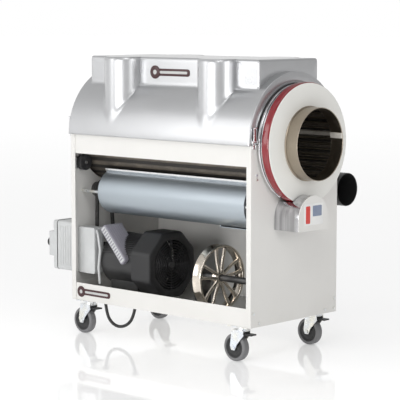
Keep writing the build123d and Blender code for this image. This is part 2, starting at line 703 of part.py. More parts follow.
def drive_belts():
    return group([
        belt(BELT_A_X, MOTOR_Y, MOTOR_Z, MOTOR_PULLEY_R, REEL_Y, REEL_Z, REEL_LEFT_PULLEY_R),
        belt(BELT_B_X, JACK_Y, JACK_Z, JACK_LARGE_PULLEY_R, REEL_Y, REEL_Z, REEL_RIGHT_PULLEY_R),
        belt(BELT_C_X, JACK_Y, JACK_Z, JACK_SMALL_PULLEY_R, DRIVE_Y, DRIVE_Z, DRIVE_PULLEY_R),
    ])


def reel_pulleys():
    return group([
        pulley(BELT_A_X, REEL_Y, REEL_Z, REEL_LEFT_PULLEY_R, SHAFT_R),
        pulley(BELT_B_X, REEL_Y, REEL_Z, REEL_RIGHT_PULLEY_R, SHAFT_R),
    ])


def jack_shaft():
    """The countershaft with its large and small pulleys."""
    shaft = rod_x(PILLOW_X - 15.0, PANEL_IN - 4, JACK_Y, JACK_Z, JACK_SHAFT_R)
    return group([
        shaft,
        pulley(BELT_B_X, JACK_Y, JACK_Z, JACK_LARGE_PULLEY_R, JACK_SHAFT_R),
        pulley(BELT_C_X, JACK_Y, JACK_Z, JACK_SMALL_PULLEY_R, JACK_SHAFT_R),
    ])


def spoked_wheel():
    x0 = FLYWHEEL_X - FLYWHEEL_WIDTH / 2
    x1 = FLYWHEEL_X + FLYWHEEL_WIDTH / 2
    inner = FLYWHEEL_R - FLYWHEEL_RIM
    wheel = tube_x(x0, x1, 0, 0, FLYWHEEL_R, inner)
    wheel += rod_x(x0 + 4, x1 - 4, 0, 0, FLYWHEEL_HUB_R)
    spoke = block(x1 - 16, x1 - 6, FLYWHEEL_HUB_R - 4, inner + 2, SPOKE_INNER, SPOKE_OUTER)
    spoke += block(x1 - 16, x1 - 6, FLYWHEEL_HUB_R - 4, inner + 2, -SPOKE_OUTER, -SPOKE_INNER)
    for number in range(FLYWHEEL_SPOKES):
        wheel += Rot(90 + 360.0 * number / FLYWHEEL_SPOKES, 0, 0) * spoke
    wheel -= rod_x(x0 - 1, x1 + 1, 0, 0, JACK_SHAFT_R)
    return Pos(0, JACK_Y, JACK_Z) * wheel


def drive_shaft():
    x0 = BELT_C_X - HUB_WIDTH / 2 - 4
    shaft = rod_x(x0, RING_END_X + DRIVE_SHAFT_END, DRIVE_Y, DRIVE_Z, SHAFT_R)
    return group([shaft, pulley(BELT_C_X, DRIVE_Y, DRIVE_Z, DRIVE_PULLEY_R, SHAFT_R)])


def drive_roller():
    return tube_x(RING_X + 3.0, RING_END_X - 3.0, DRIVE_Y, DRIVE_Z, DRIVE_ROLLER_R, SHAFT_R)


def bearing(x0, x1, y, z, bore):
    return tube_x(x0, x1, y, z, BEARING_R, bore + RUN_FIT)


def shaft_bearings():
    """Flanged bearings on the side panels, and a pillow block that stands in the base."""
    parts = pair_x(bearing(BEARING_X, PANEL_IN, REEL_Y, REEL_Z, SHAFT_R))
    parts.append(bearing(BEARING_X, PANEL_IN, JACK_Y, JACK_Z, JACK_SHAFT_R))
    parts.append(bearing(BEARING_X, PANEL_IN, DRIVE_Y, DRIVE_Z, SHAFT_R))
    x0 = PILLOW_X - PILLOW_HALF_WIDTH
    x1 = PILLOW_X + PILLOW_HALF_WIDTH
    pillow = block(x0, x1, JACK_Y - PILLOW_R, JACK_Y + PILLOW_R, BASE_FLOOR, JACK_Z)
    pillow += rod_x(x0, x1, JACK_Y, JACK_Z, PILLOW_R)
    pillow += block(x0, x1, JACK_Y - PILLOW_FOOT_REACH, JACK_Y + PILLOW_FOOT_REACH, BASE_FLOOR,
                    BASE_FLOOR + PILLOW_FOOT)
    parts.append(pillow - rod_x(x0 - 1, x1 + 1, JACK_Y, JACK_Z, JACK_SHAFT_R + RUN_FIT))
    return group(parts)


# ---------------------------------------------------------------- motor
def motor_body():
    """A hollow barrel with a stepped nose, standing on two webs and a foot plate."""
    barrel_x = MOTOR_LEFT_X + MOTOR_NOSE
    body = rod_x(barrel_x, MOTOR_RIGHT_X, MOTOR_Y, MOTOR_Z, MOTOR_R)
    body += rod_x(MOTOR_LEFT_X, barrel_x + 1, MOTOR_Y, MOTOR_Z, MOTOR_R - MOTOR_NOSE_STEP)
    body += block(MOTOR_LEFT_X + 30, MOTOR_RIGHT_X - 20, MOTOR_Y - 80, MOTOR_Y + 80, BASE_FLOOR,
                  BASE_FLOOR + MOTOR_FOOT)
    for y in (MOTOR_Y - 60, MOTOR_Y + 60):
        body += block(MOTOR_LEFT_X + 36, MOTOR_RIGHT_X - 26, y - 5, y + 5, BASE_FLOOR,
                      MOTOR_Z - 70)
    bore = rod_x(MOTOR_LEFT_X - 1, MOTOR_LEFT_X + 60, MOTOR_Y, MOTOR_Z, MOTOR_SHAFT_R + RUN_FIT)
    cavity = rod_x(MOTOR_LEFT_X + 30, MOTOR_RIGHT_X - 14, MOTOR_Y, MOTOR_Z, MOTOR_R - MOTOR_WALL)
    return body - bore - cavity


def motor_fan_cover():
    """An octagonal shell, open to the motor, with ring-shaped slots in its end face."""
    end = FAN_LENGTH
    cover = extrude(Plane.YZ * Rot(0, 0, 22.5) * RegularPolygon(FAN_FLATS / 2, 8, False), end)
    cover -= extrude(Plane.YZ * Circle(FAN_FLATS / 2 - FAN_WALL), end - FAN_FACE)
    half = FAN_BRIDGE / 2
    for inner, outer in FAN_SLOTS:
        slots = tube_x(end - 2 * FAN_FACE, end + 1, 0, 0, outer, inner)
        for number in range(4):
            slots -= Rot(45.0 * number, 0, 0) * block(end - 3 * FAN_FACE, end + 2, -half, half,
                                                      -outer - 1, outer + 1)
        cover -= slots
    return Pos(MOTOR_RIGHT_X, MOTOR_Y, MOTOR_Z) * cover


def motor_rotor():
    """The motor's output shaft with its pulley."""
    x0 = BELT_A_X - HUB_WIDTH / 2 - 4
    shaft = rod_x(x0, MOTOR_LEFT_X + 59, MOTOR_Y, MOTOR_Z, MOTOR_SHAFT_R)
    return group([shaft, pulley(BELT_A_X, MOTOR_Y, MOTOR_Z, MOTOR_PULLEY_R, MOTOR_SHAFT_R)])


def capacitor_cover():
    """A flat case that leans along the motor's front shoulder."""
    lid = Box(COVER_LENGTH, COVER_DEPTH, COVER_WIDTH)
    lid = fillet(lid.edges().filter_by(Axis.Y), COVER_CORNER_R)
    lid = fillet(lid.edges().group_by(Axis.Y)[0], COVER_EDGE_R)
    place = Pos(MOTOR_LEFT_X + COVER_FROM_NOSE, MOTOR_Y - COVER_BEFORE_MOTOR,
                MOTOR_Z + COVER_ABOVE_MOTOR)
    lid = place * Rot(0, COVER_TILT, 0) * lid
    return lid - rod_x(MOTOR_LEFT_X - 50, MOTOR_RIGHT_X + 1, MOTOR_Y, MOTOR_Z, MOTOR_R)


# ---------------------------------------------------------------- electrical boxes
def control_box():
    x1 = -HALF_LENGTH
    x0 = x1 - BOX_DEPTH
    body = block(x0, x1, BOX_Y0, BOX_Y1, BOX_Z0, BOX_Z1)
    body = fillet(body.edges().filter_by(Axis.X), BOX_CORNER_R)
    return body - block(x0 - 1, x1 - BOX_WALL, BOX_Y0 + BOX_WALL, BOX_Y1 - BOX_WALL,
                        BOX_Z0 + BOX_WALL, BOX_Z1 - BOX_WALL)


def control_box_lid():
    x1 = -HALF_LENGTH - BOX_DEPTH
    x0 = x1 - LID_DEPTH
    lid = block(x0, x1, BOX_Y0, BOX_Y1, BOX_Z0, BOX_Z1)
    lid = fillet(lid.edges().filter_by(Axis.X), BOX_CORNER_R)
    plate = block(x0 - SWITCH_PLATE, x0, KNOB_Y - SWITCH_HALF_WIDTH, KNOB_Y + SWITCH_HALF_WIDTH,
                  KNOB_Z - SWITCH_BELOW, KNOB_Z + SWITCH_ABOVE)
    spindle = rod_x(x0 - SWITCH_PLATE - KNOB_LENGTH + 3, x0, KNOB_Y, KNOB_Z, SPINDLE_R)
    return lid + plate + spindle


def selector_knob():
    x1 = -HALF_LENGTH - BOX_DEPTH - LID_DEPTH - SWITCH_PLATE - AIR_GAP
    knob = rod_x(x1 - KNOB_LENGTH, x1, KNOB_Y, KNOB_Z, KNOB_R)
    knob += block(x1 - KNOB_LENGTH - 5, x1 - KNOB_LENGTH + 1, KNOB_Y - KNOB_GRIP,
                  KNOB_Y + KNOB_GRIP, KNOB_Z - KNOB_R + 1, KNOB_Z + KNOB_R - 1)
    return knob - rod_x(x1 - KNOB_LENGTH + 2.6, x1 + 1, KNOB_Y, KNOB_Z, SPINDLE_R + RUN_FIT)


def junction_box():
    """The inner wiring box and the bent conduit that rises beside it."""
    case = block(-PANEL_IN, CASE_X, CASE_Y, CASE_Y + CASE_DEPTH, BOX_Z0, BOX_Z0 + CASE_HEIGHT)
    case = fillet(case.edges().filter_by(Axis.Y), CASE_CORNER_R)
    route = FilletPolyline(*CONDUIT_POINTS, radius=CONDUIT_BEND_R)
    conduit = sweep((Plane(route @ 0, z_dir=route % 0)) * Circle(CONDUIT_R), route)
    return group([case, conduit])


# ---------------------------------------------------------------- power cord
def corner_radii(points):
    """Each arc is as large as its two runs allow."""
    radii = []
    for before, here, after in zip(points, points[1:], points[2:]):
        first = Vector(*here) - Vector(*before)
        second = Vector(*after) - Vector(*here)
        half_turn = math.radians(first.get_angle(second) / 2)
        radii.append(0.45 * min(first.length, second.length) / math.tan(half_turn))
    return radii


def power_cord():
    radii = corner_radii(CORD_POINTS)
    route = FilletPolyline(*CORD_POINTS, radius=radii)
    cord = sweep(Plane(route @ 0, z_dir=route % 0) * Circle(CORD_R), route)
    section = math.pi * CORD_R**2
    print("cord radii", [round(r, 1) for r in radii])
    print("cord length", round(route.length, 1), "volume", round(cord.volume), "against",
          round(section * route.length))
    return cord


def cord_glands():
    """Two glands that stand down through the base pan, one at each end of the cord's loop."""
    parts = []
    for x, y, z in (CORD_POINTS[0], CORD_POINTS[-1]):
        nut = Pos(x, y, BASE_Z - GLAND_DROP) * extrude(RegularPolygon(GLAND_R, 6), GLAND_DROP)
        parts.append(nut)
    return group(parts)


# ---------------------------------------------------------------- drive guard
def guard_outline(inset):
    """Upright sides, a flat bottom and a round top."""
    half = GUARD_HALF_WIDTH - inset
    bottom = GUARD_BOTTOM_Z + inset
    shoulder = GUARD_TOP_Z - GUARD_HALF_WIDTH
    left = DRIVE_Y - half
    right = DRIVE_Y + half
    outline = Polyline((right, shoulder), (right, bottom), (left, bottom), (left, shoulder))
    outline += ThreePointArc((left, shoulder), (DRIVE_Y, shoulder + half), (right, shoulder))
    return Plane.YZ * make_face(outline)


def drive_guard():
    shell = Pos(HALF_LENGTH, 0, 0) * extrude(guard_outline(0), GUARD_LENGTH - GUARD_WALL)
    shell -= Pos(HALF_LENGTH - 1, 0, 0) * extrude(guard_outline(GUARD_WALL), GUARD_LENGTH)
    notch = rod_x(HALF_LENGTH - 1, DISC_END_X + GUARD_RING_GAP, 0, DRUM_Z, RING_R + GUARD_RING_GAP)
    return shell - notch


def drive_guard_cover():
    x0 = HALF_LENGTH + GUARD_LENGTH - GUARD_WALL
    return Pos(x0, 0, 0) * extrude(guard_outline(0), GUARD_WALL)


# ---------------------------------------------------------------- casters
def caster_plates():
    parts = []
    dx = CASTER_PLATE_LENGTH / 2
    dy = CASTER_PLATE_WIDTH / 2
    for x, y in CASTERS.values():
        plate = block(x - dx, x + dx, y - dy, y + dy, BASE_Z - CASTER_PLATE, BASE_Z)
        parts.append(plate + rod_z(FORK_BRIDGE_Z + 1, BASE_Z - 1, x, y, KINGPIN_R))
    return group(parts)


def caster_fork(x, y):
    """A swivel head, a bridge and two legs that carry the axle and the pedal's pin."""
    bridge = FORK_BRIDGE_Z
    top = bridge + FORK_BRIDGE
    fork = rod_z(bridge, FORK_TOP_Z, 0, 0, FORK_HEAD_R)
    fork += block(-CASTER_TRAIL - 4, 18, -LEG_OUT, LEG_OUT, bridge, top)
    outline = [(18, top), (-CASTER_TRAIL - 6, top), (-CASTER_TRAIL - 14, AXLE_Z + 6),
               (-CASTER_TRAIL - 8, AXLE_Z - 9), (-CASTER_TRAIL + 8, AXLE_Z - 9),
               (-CASTER_TRAIL + 18, AXLE_Z + 12), (18, bridge - 14)]
    for y0, y1 in ((-LEG_OUT, -LEG_IN), (LEG_IN, LEG_OUT)):
        fork += plate_y(outline, y0, y1)
    fork += rod_y(-LEG_OUT, LEG_OUT, -CASTER_TRAIL, AXLE_Z, CASTER_AXLE_R)
    fork += rod_y(-LEG_OUT, LEG_OUT, PEDAL_PIN_X, PEDAL_PIN_Z, PEDAL_PIN_R)
    fork -= rod_z(bridge - 5, FORK_TOP_Z + 1, 0, 0, KINGPIN_R + RUN_FIT)
    return Pos(x, y, 0) * fork


def caster_wheel(x, y):
    """A hard core with a softer tread round it."""
    cx = x - CASTER_TRAIL
    core_r = CASTER_WHEEL_R - CASTER_TREAD
    half = CASTER_WIDTH / 2
    core = rod_y(y - half + 1, y + half - 1, cx, AXLE_Z, core_r)
    core -= rod_y(y - half - 1, y + half + 1, cx, AXLE_Z, CASTER_AXLE_R + RUN_FIT)
    tread = rod_y(y - half, y + half, cx, AXLE_Z, CASTER_WHEEL_R)
    tread -= rod_y(y - half - 1, y + half + 1, cx, AXLE_Z, core_r)
    return group([core, tread])


def brake_pedal(x, y):
    half = LEG_IN - PEDAL_SIDE_GAP
    top = PEDAL_PIN_Z + 0.5
    pedal = rod_y(-half, half, PEDAL_PIN_X, PEDAL_PIN_Z, PEDAL_BARREL_R)
    pedal += block(PEDAL_PIN_X, PEDAL_END_X, -half + 2, half - 2, top - PEDAL_THICKNESS, top)
    pedal -= rod_y(-half - 1, half + 1, PEDAL_PIN_X, PEDAL_PIN_Z, PEDAL_PIN_R + RUN_FIT)
    return Pos(x, y, 0) * pedal


# ---------------------------------------------------------------- assembly
def assembly():
    nodes = {
        "side_panel_left": side_panel_left(),
        "side_panel_right": side_panel_right(),
        "base_pan": base_pan(),
        "front_rail": front_rail(),
        "rear_panel": rear_panel(),
        "panel_bolts": panel_bolts(),
        "suction_trough": trough(),
        "trough_spacers": trough_spacers(),
        "outlet_box": outlet_box(),
        "fixed_knife": fixed_knife(),
        "hood": hood(),
        "hinge_blocks": hinge_blocks(),
        "hinge_leaves": hinge_leaves(),
        "latch_bases": group(pair_x(latch_base())),
        "latch_lever_right": latch_lever(),
        "latch_lever_left": mirror(latch_lever(), about=Plane.YZ),
        "latch_keepers": latch_keepers(),
        "drum_cage": drum_cage(),
        "drum_collars": drum_collars(),
        "drum_drive_ring": drum_drive_ring(),
        "drum_disc": drum_disc(),
        "drum_neck": drum_neck(),
        "roller_brackets": roller_brackets(),
        "cutting_reel": cutting_reel(),
        "reel_pulleys": reel_pulleys(),
        "drive_belts": drive_belts(),
        "jack_shaft": jack_shaft(),
        "spoked_wheel": spoked_wheel(),
        "drive_shaft": drive_shaft(),
        "drive_roller": drive_roller(),
        "shaft_bearings": shaft_bearings(),
        "motor_body": motor_body(),
        "motor_fan_cover": motor_fan_cover(),
        "motor_rotor": motor_rotor(),
        "capacitor_cover": capacitor_cover(),
        "control_box": control_box(),
        "control_box_lid": control_box_lid(),
        "selector_knob": selector_knob(),
        "junction_box": junction_box(),
        "cord_glands": cord_glands(),
        "drive_guard": drive_guard(),
        "drive_guard_cover": drive_guard_cover(),
        "caster_plates": caster_plates(),
    }
    for place, side_x, side_y in (("front_left", -1, -1), ("front_right", 1, -1),
                                  ("rear_left", -1, 1), ("rear_right", 1, 1)):
        nodes["roller_" + place] = support_roller(side_x, side_y)
    for place, (x, y) in CASTERS.items():
        nodes["caster_fork_" + place] = caster_fork(x, y)
        nodes["caster_wheel_" + place] = caster_wheel(x, y)
        nodes["brake_pedal_" + place] = brake_pedal(x, y)
    return nodes


def footprint_centre(nodes):
    """The middle of the whole object's box on the floor, leaving the power cord out."""
    boxes = [shape.bounding_box() for shape in nodes.values()]
    x = (min(b.min.X for b in boxes) + max(b.max.X for b in boxes)) / 2
    y = (min(b.min.Y for b in boxes) + max(b.max.Y for b in boxes)) / 2
    return x, y


NODES = assembly()
SHIFT_X, SHIFT_Y = footprint_centre(NODES)
NODES["power_cord"] = power_cord()
os.makedirs("parts", exist_ok=True)
for name, shape in NODES.items():
    export_step(Pos(-SHIFT_X, -SHIFT_Y, 0) * shape, "parts/" + name + ".step")
print("nodes", len(NODES), "shift", round(SHIFT_X, 3), round(SHIFT_Y, 3))
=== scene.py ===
"""The looks of a rotary drum trimming machine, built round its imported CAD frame."""
import json
import math

import bmesh
import bpy
import numpy as np
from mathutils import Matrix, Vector


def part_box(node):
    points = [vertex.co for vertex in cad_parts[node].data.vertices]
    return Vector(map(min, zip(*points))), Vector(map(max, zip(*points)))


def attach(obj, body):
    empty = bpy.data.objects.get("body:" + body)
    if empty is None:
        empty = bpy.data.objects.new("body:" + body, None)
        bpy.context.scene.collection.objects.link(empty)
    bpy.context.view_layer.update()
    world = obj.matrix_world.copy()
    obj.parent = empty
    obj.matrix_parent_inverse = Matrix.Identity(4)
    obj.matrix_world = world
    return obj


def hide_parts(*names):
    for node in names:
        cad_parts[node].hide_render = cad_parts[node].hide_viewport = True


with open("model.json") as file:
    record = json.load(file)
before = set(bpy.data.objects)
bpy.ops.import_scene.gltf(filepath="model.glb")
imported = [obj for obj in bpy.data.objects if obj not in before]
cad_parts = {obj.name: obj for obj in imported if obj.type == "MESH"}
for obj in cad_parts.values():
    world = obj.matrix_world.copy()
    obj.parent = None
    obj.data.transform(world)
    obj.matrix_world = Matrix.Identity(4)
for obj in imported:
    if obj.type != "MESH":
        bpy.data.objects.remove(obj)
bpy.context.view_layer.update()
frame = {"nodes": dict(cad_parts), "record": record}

# ---------------------------------------------------------------- places taken from the frame
panel_low, panel_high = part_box("side_panel_right")
left_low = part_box("side_panel_left")[0]
RIGHT, FRONT, BACK = panel_high.x, panel_low.y, panel_high.y
LEFT, BASE = left_low.x, panel_low.z
MID_X, MID_Y = (LEFT + RIGHT) / 2, (FRONT + BACK) / 2
ring_low, ring_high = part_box("drum_drive_ring")
DRUM_Z = (ring_low.z + ring_high.z) / 2
HOOD_LOW, HOOD_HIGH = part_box("hood")
SLOT_OF = {entry["node"]: entry["material_slot"] for entry in frame["record"]["subparts"]}
BODIES = frame["record"]["behaviour"]["bodies"]
BODY_OF = {node: body for body, nodes in BODIES.items() for node in nodes}


# ---------------------------------------------------------------- shader maths
class Number:
    """A socket that takes part in sums: each operator adds one Math node."""

    def __init__(self, look, socket):
        self.look = look
        self.socket = socket

    def join(self, operation, first, second):
        return self.look.node("ShaderNodeMath", {"operation": operation}, {0: first, 1: second})

    def __add__(self, other):
        return self.join("ADD", self, other)

    def __radd__(self, other):
        return self.join("ADD", other, self)

    def __sub__(self, other):
        return self.join("SUBTRACT", self, other)

    def __rsub__(self, other):
        return self.join("SUBTRACT", other, self)

    def __mul__(self, other):
        return self.join("MULTIPLY", self, other)

    def __rmul__(self, other):
        return self.join("MULTIPLY", other, self)


class Nodes:
    """A node tree: its nodes are added by one method, and its maths is written as sums."""

    def __init__(self, tree):
        self.tree = tree

    def node(self, kind, settings=None, inputs=None, output=0):
        made = self.tree.nodes.new(kind)
        for key, value in (settings or {}).items():
            setattr(made, key, value)
        for key, value in (inputs or {}).items():
            if isinstance(value, Number):
                self.tree.links.new(value.socket, made.inputs[key])
            else:
                made.inputs[key].default_value = value
        return Number(self, made.outputs[output])

    def spread(self, value, low, high, out_low=0.0, out_high=1.0):
        """The value's stretch from low to high, mapped to another range and held inside it."""
        ends = {"Value": value, 1: low, 2: high, 3: out_low, 4: out_high}
        return self.node("ShaderNodeMapRange", {"clamp": True}, ends)


class Look(Nodes):
    """One material."""

    def __init__(self, name, roughness, metallic=0.0, coat=0.0, coat_roughness=0.1, ior=1.5):
        self.material = bpy.data.materials.new(name)
        self.material.use_nodes = True
        super().__init__(self.material.node_tree)
        self.shader = self.tree.nodes["Principled BSDF"]
        for socket, value in (("Roughness", roughness), ("Metallic", metallic), ("IOR", ior),
                              ("Coat Weight", coat), ("Coat Roughness", coat_roughness)):
            self.shader.inputs[socket].default_value = value

    def place(self, scale=(1.0, 1.0, 1.0), move=(0.0, 0.0, 0.0)):
        """Object coordinates in metres, stretched and moved."""
        where = self.node("ShaderNodeTexCoord", output="Object")
        return self.node("ShaderNodeMapping", None, {"Vector": where, "Scale": scale, "Location": move})

    def noise(self, where, scale, detail=3.0, roughness=0.55):
        values = {"Vector": where, "Scale": scale, "Detail": detail, "Roughness": roughness}
        return self.node("ShaderNodeTexNoise", None, values)

    def mix(self, factor, first, second):
        return self.node("ShaderNodeMix", {"data_type": "RGBA"}, {0: factor, 6: first, 7: second}, 2)

    def bump(self, height, strength, distance):
        values = {"Height": height, "Strength": strength, "Distance": distance}
        self.set("Normal", self.node("ShaderNodeBump", None, values))

    def set(self, socket, value):
        if isinstance(value, Number):
            self.tree.links.new(value.socket, self.shader.inputs[socket])
        else:
            self.shader.inputs[socket].default_value = value


def tint(colour, factor):
    return (colour[0] * factor, colour[1] * factor, colour[2] * factor, 1.0)


# ---------------------------------------------------------------- materials
def powder_coat(name, colour, roughness=0.42, peel=0.10):
    """Baked paint: a fine orange peel, faint clouding, and dulled, dusty patches low down."""
    look = Look(name, roughness, coat=0.15, coat_roughness=0.25)
    cloud = look.noise(look.place(), 5.0, 4.0)
    low = look.node("ShaderNodeSeparateXYZ", None, {0: look.place()}, 2)
    dust = look.spread(low, 0.14, 0.30, 1.0, 0.0) * look.spread(cloud, 0.45, 0.7)
    paint = look.mix(look.spread(cloud, 0.3, 0.7), tint(colour, 0.965), tint(colour, 1.0))
    look.set("Base Color", look.mix(0.16 * dust, paint, (0.42, 0.40, 0.36, 1.0)))
    look.set("Roughness", roughness + 0.16 * dust + 0.05 * cloud)
    look.bump(look.noise(look.place(), 620.0, 2.0), peel, 0.0004)
    return look.material


def metallic_paint(name, colour, roughness=0.33):
    """Silver paint: flake sparkle under a clear coat, with slight long waves in the film."""
    look = Look(name, roughness, metallic=0.85, coat=0.5, coat_roughness=0.10)
    flake = look.noise(look.place(), 1500.0, 1.0)
    cloud = look.noise(look.place((1.0, 2.0, 2.0)), 3.0, 3.0)
    film = look.mix(look.spread(cloud, 0.3, 0.7), tint(colour, 0.95), tint(colour, 1.03))
    look.set("Base Color", look.mix(look.spread(flake, 0.55, 0.75, 0.0, 0.35), film, tint(colour, 1.25)))
    look.set("Roughness", roughness + 0.10 * look.spread(cloud, 0.35, 0.7))
    look.bump(look.noise(look.place(), 260.0, 2.0), 0.05, 0.0004)
    return look.material


def drawn_steel(name, colour, stretch, roughness=0.28, contrast=0.10):
    """Metal with a drawn or brushed grain: noise stretched along the direction of the work."""
    look = Look(name, roughness, metallic=1.0)
    grain = look.noise(look.place(stretch), 60.0, 4.0, 0.7)
    stain = look.noise(look.place(), 14.0, 4.0)
    base = look.mix(look.spread(grain, 0.3, 0.7), tint(colour, 1.0 - contrast), tint(colour, 1.0 + contrast))
    look.set("Base Color", look.mix(look.spread(stain, 0.55, 0.8, 0.0, 0.35), base, tint(colour, 0.72)))
    look.set("Roughness", roughness + 0.16 * look.spread(grain, 0.3, 0.7) + 0.06 * stain)
    look.bump(grain, 0.10, 0.0003)
    return look.material


def plated(name, colour, roughness=0.10):
    """Bright plating with a few dull smears."""
    look = Look(name, roughness, metallic=1.0)
    smear = look.noise(look.place((1.0, 3.0, 1.0)), 30.0, 4.0)
    look.set("Base Color", look.mix(look.spread(smear, 0.5, 0.8), tint(colour, 1.0), tint(colour, 0.8)))
    look.set("Roughness", roughness + 0.22 * look.spread(smear, 0.45, 0.8))
    look.bump(look.noise(look.place(), 90.0, 2.0), 0.03, 0.0004)
    return look.material


def mirror_steel(name, colour):
    """Polished sheet: upright light and dark streaks of painted reflection in its colour, and a slow ripple,
    with no grain.
    """
    look = Look(name, 0.10, metallic=1.0)
    reflection_streak = look.noise(look.place((60.0, 60.0, 2.0)), 1.0, 3.0)
    # painted reflection: upright streaks in the base colour, from 0.72 to 1.15 times the colour
    shade = look.mix(look.spread(reflection_streak, 0.35, 0.65), tint(colour, 0.72), tint(colour, 1.15))
    look.set("Base Color", shade)
    look.set("Roughness", 0.08 + 0.10 * look.spread(reflection_streak, 0.4, 0.7))
    return look.material


def zinc_plate(name, colour):
    """Passivated zinc: mottled crystals with a faint blue and yellow cast."""
    look = Look(name, 0.30, metallic=0.9)
    cells = look.node("ShaderNodeTexVoronoi", None, {"Vector": look.place(), "Scale": 260.0}, 1)
    shade = look.node("ShaderNodeSeparateColor", None, {0: cells}, 0)
    cast = look.noise(look.place(), 25.0, 3.0)
    blue = (colour[0] * 0.93, colour[1] * 0.97, colour[2] * 1.04, 1.0)
    yellow = (colour[0] * 1.03, colour[1] * 1.0, colour[2] * 0.90, 1.0)
    look.set("Base Color", look.mix(look.spread(cast, 0.35, 0.65), blue, yellow))
    look.set("Roughness", 0.26 + 0.12 * shade)
    look.bump(look.noise(look.place(), 500.0, 2.0), 0.06, 0.0003)
    return look.material


def moulded(name, colour, roughness=0.5, grain=900.0, depth=0.12, coat=0.0):
    """Moulded plastic: a fine spark-eroded grain and slight flow clouding."""
    look = Look(name, roughness, coat=coat, coat_roughness=0.08)
    flow = look.noise(look.place(), 12.0, 4.0)
    look.set("Base Color", look.mix(look.spread(flow, 0.3, 0.7), tint(colour, 0.92), tint(colour, 1.06)))
    look.set("Roughness", roughness + 0.10 * look.spread(flow, 0.4, 0.7))
    look.bump(look.noise(look.place(), grain, 2.0), depth, 0.0004)
    return look.material


def rubbery(name, colour, roughness=0.62):
    """Rubber: dull, finely pitted, greyed by dust where it has rubbed."""
    look = Look(name, roughness)
    dust = look.noise(look.place(), 45.0, 5.0, 0.65)
    pale = (colour[0] * 0.6 + 0.12, colour[1] * 0.6 + 0.115, colour[2] * 0.6 + 0.11, 1.0)
    look.set("Base Color", look.mix(look.spread(dust, 0.45, 0.8, 0.0, 0.45), tint(colour, 1.0), pale))
    look.set("Roughness", roughness + 0.15 * look.spread(dust, 0.4, 0.7))
    look.bump(look.noise(look.place(), 700.0, 3.0), 0.2, 0.0005)
    return look.material


def machined_iron(name, colour):
    """Dark turned iron: rings of tool marks and oily patches."""
    look = Look(name, 0.4, metallic=0.85)
    marks = look.noise(look.place((400.0, 8.0, 8.0)), 1.0, 3.0)
    oil = look.noise(look.place(), 22.0, 4.0)
    look.set("Base Color", look.mix(look.spread(oil, 0.4, 0.7), tint(colour, 1.5), tint(colour, 0.7)))
    look.set("Roughness", 0.30 + 0.25 * look.spread(oil, 0.35, 0.7))
    look.bump(marks, 0.15, 0.0004)
    return look.material


def wire_mesh(name):
    """Woven wire cloth: a fine lattice of bright wires over gaps painted near-black as painted shade of the
    dark inside of the drum, in the cage's own angle; the wires' colour runs in lengthwise stripes of
    near-black and of a stained, warm-brown painted sheen.
    """
    look = Look(name, 0.45, metallic=0.6)
    where = look.place(move=(-MID_X, -MID_Y, -DRUM_Z))
    parts = [look.node("ShaderNodeSeparateXYZ", None, {0: where}, axis) for axis in range(3)]
    angle = look.node("ShaderNodeMath", {"operation": "ARCTAN2"}, {0: parts[2], 1: parts[1]})
    along = look.node("ShaderNodeMath", {"operation": "PINGPONG"}, {0: parts[0], 1: 0.003})
    around = look.node("ShaderNodeMath", {"operation": "PINGPONG"}, {0: angle * 0.187, 1: 0.003})
    wires = look.node("ShaderNodeMath", {"operation": "MAXIMUM"}, {0: along, 1: around})
    wire = look.spread(wires, 0.0019, 0.0023)
    stain = look.noise(look.place(), 18.0, 4.0)
    # painted sheen: lengthwise stripes that swap the wires' colour between near-black and a stained,
    # warm-brown sheen
    sheen_band = look.node("ShaderNodeMath", {"operation": "PINGPONG"}, {0: angle * 5.0, 1: 0.5})
    stained_sheen = look.mix(look.spread(stain, 0.35, 0.7), (0.34, 0.29, 0.23, 1.0), (0.20, 0.17, 0.14, 1.0))
    steel = look.mix(look.spread(sheen_band, 0.20, 0.28), (0.045, 0.038, 0.032, 1.0), stained_sheen)
    # painted shade: the gaps between the wires are painted near-black, for the dark inside of the drum
    look.set("Base Color", look.mix(wire, (0.012, 0.011, 0.010, 1.0), steel))
    look.set("Metallic", 0.7 * wire)
    look.bump(wire, 0.6, 0.0006)
    return look.material


def printed(name, colour):
    """Ink on a label's smooth film."""
    return moulded(name, colour, 0.35, 400.0, 0.02, 0.4)


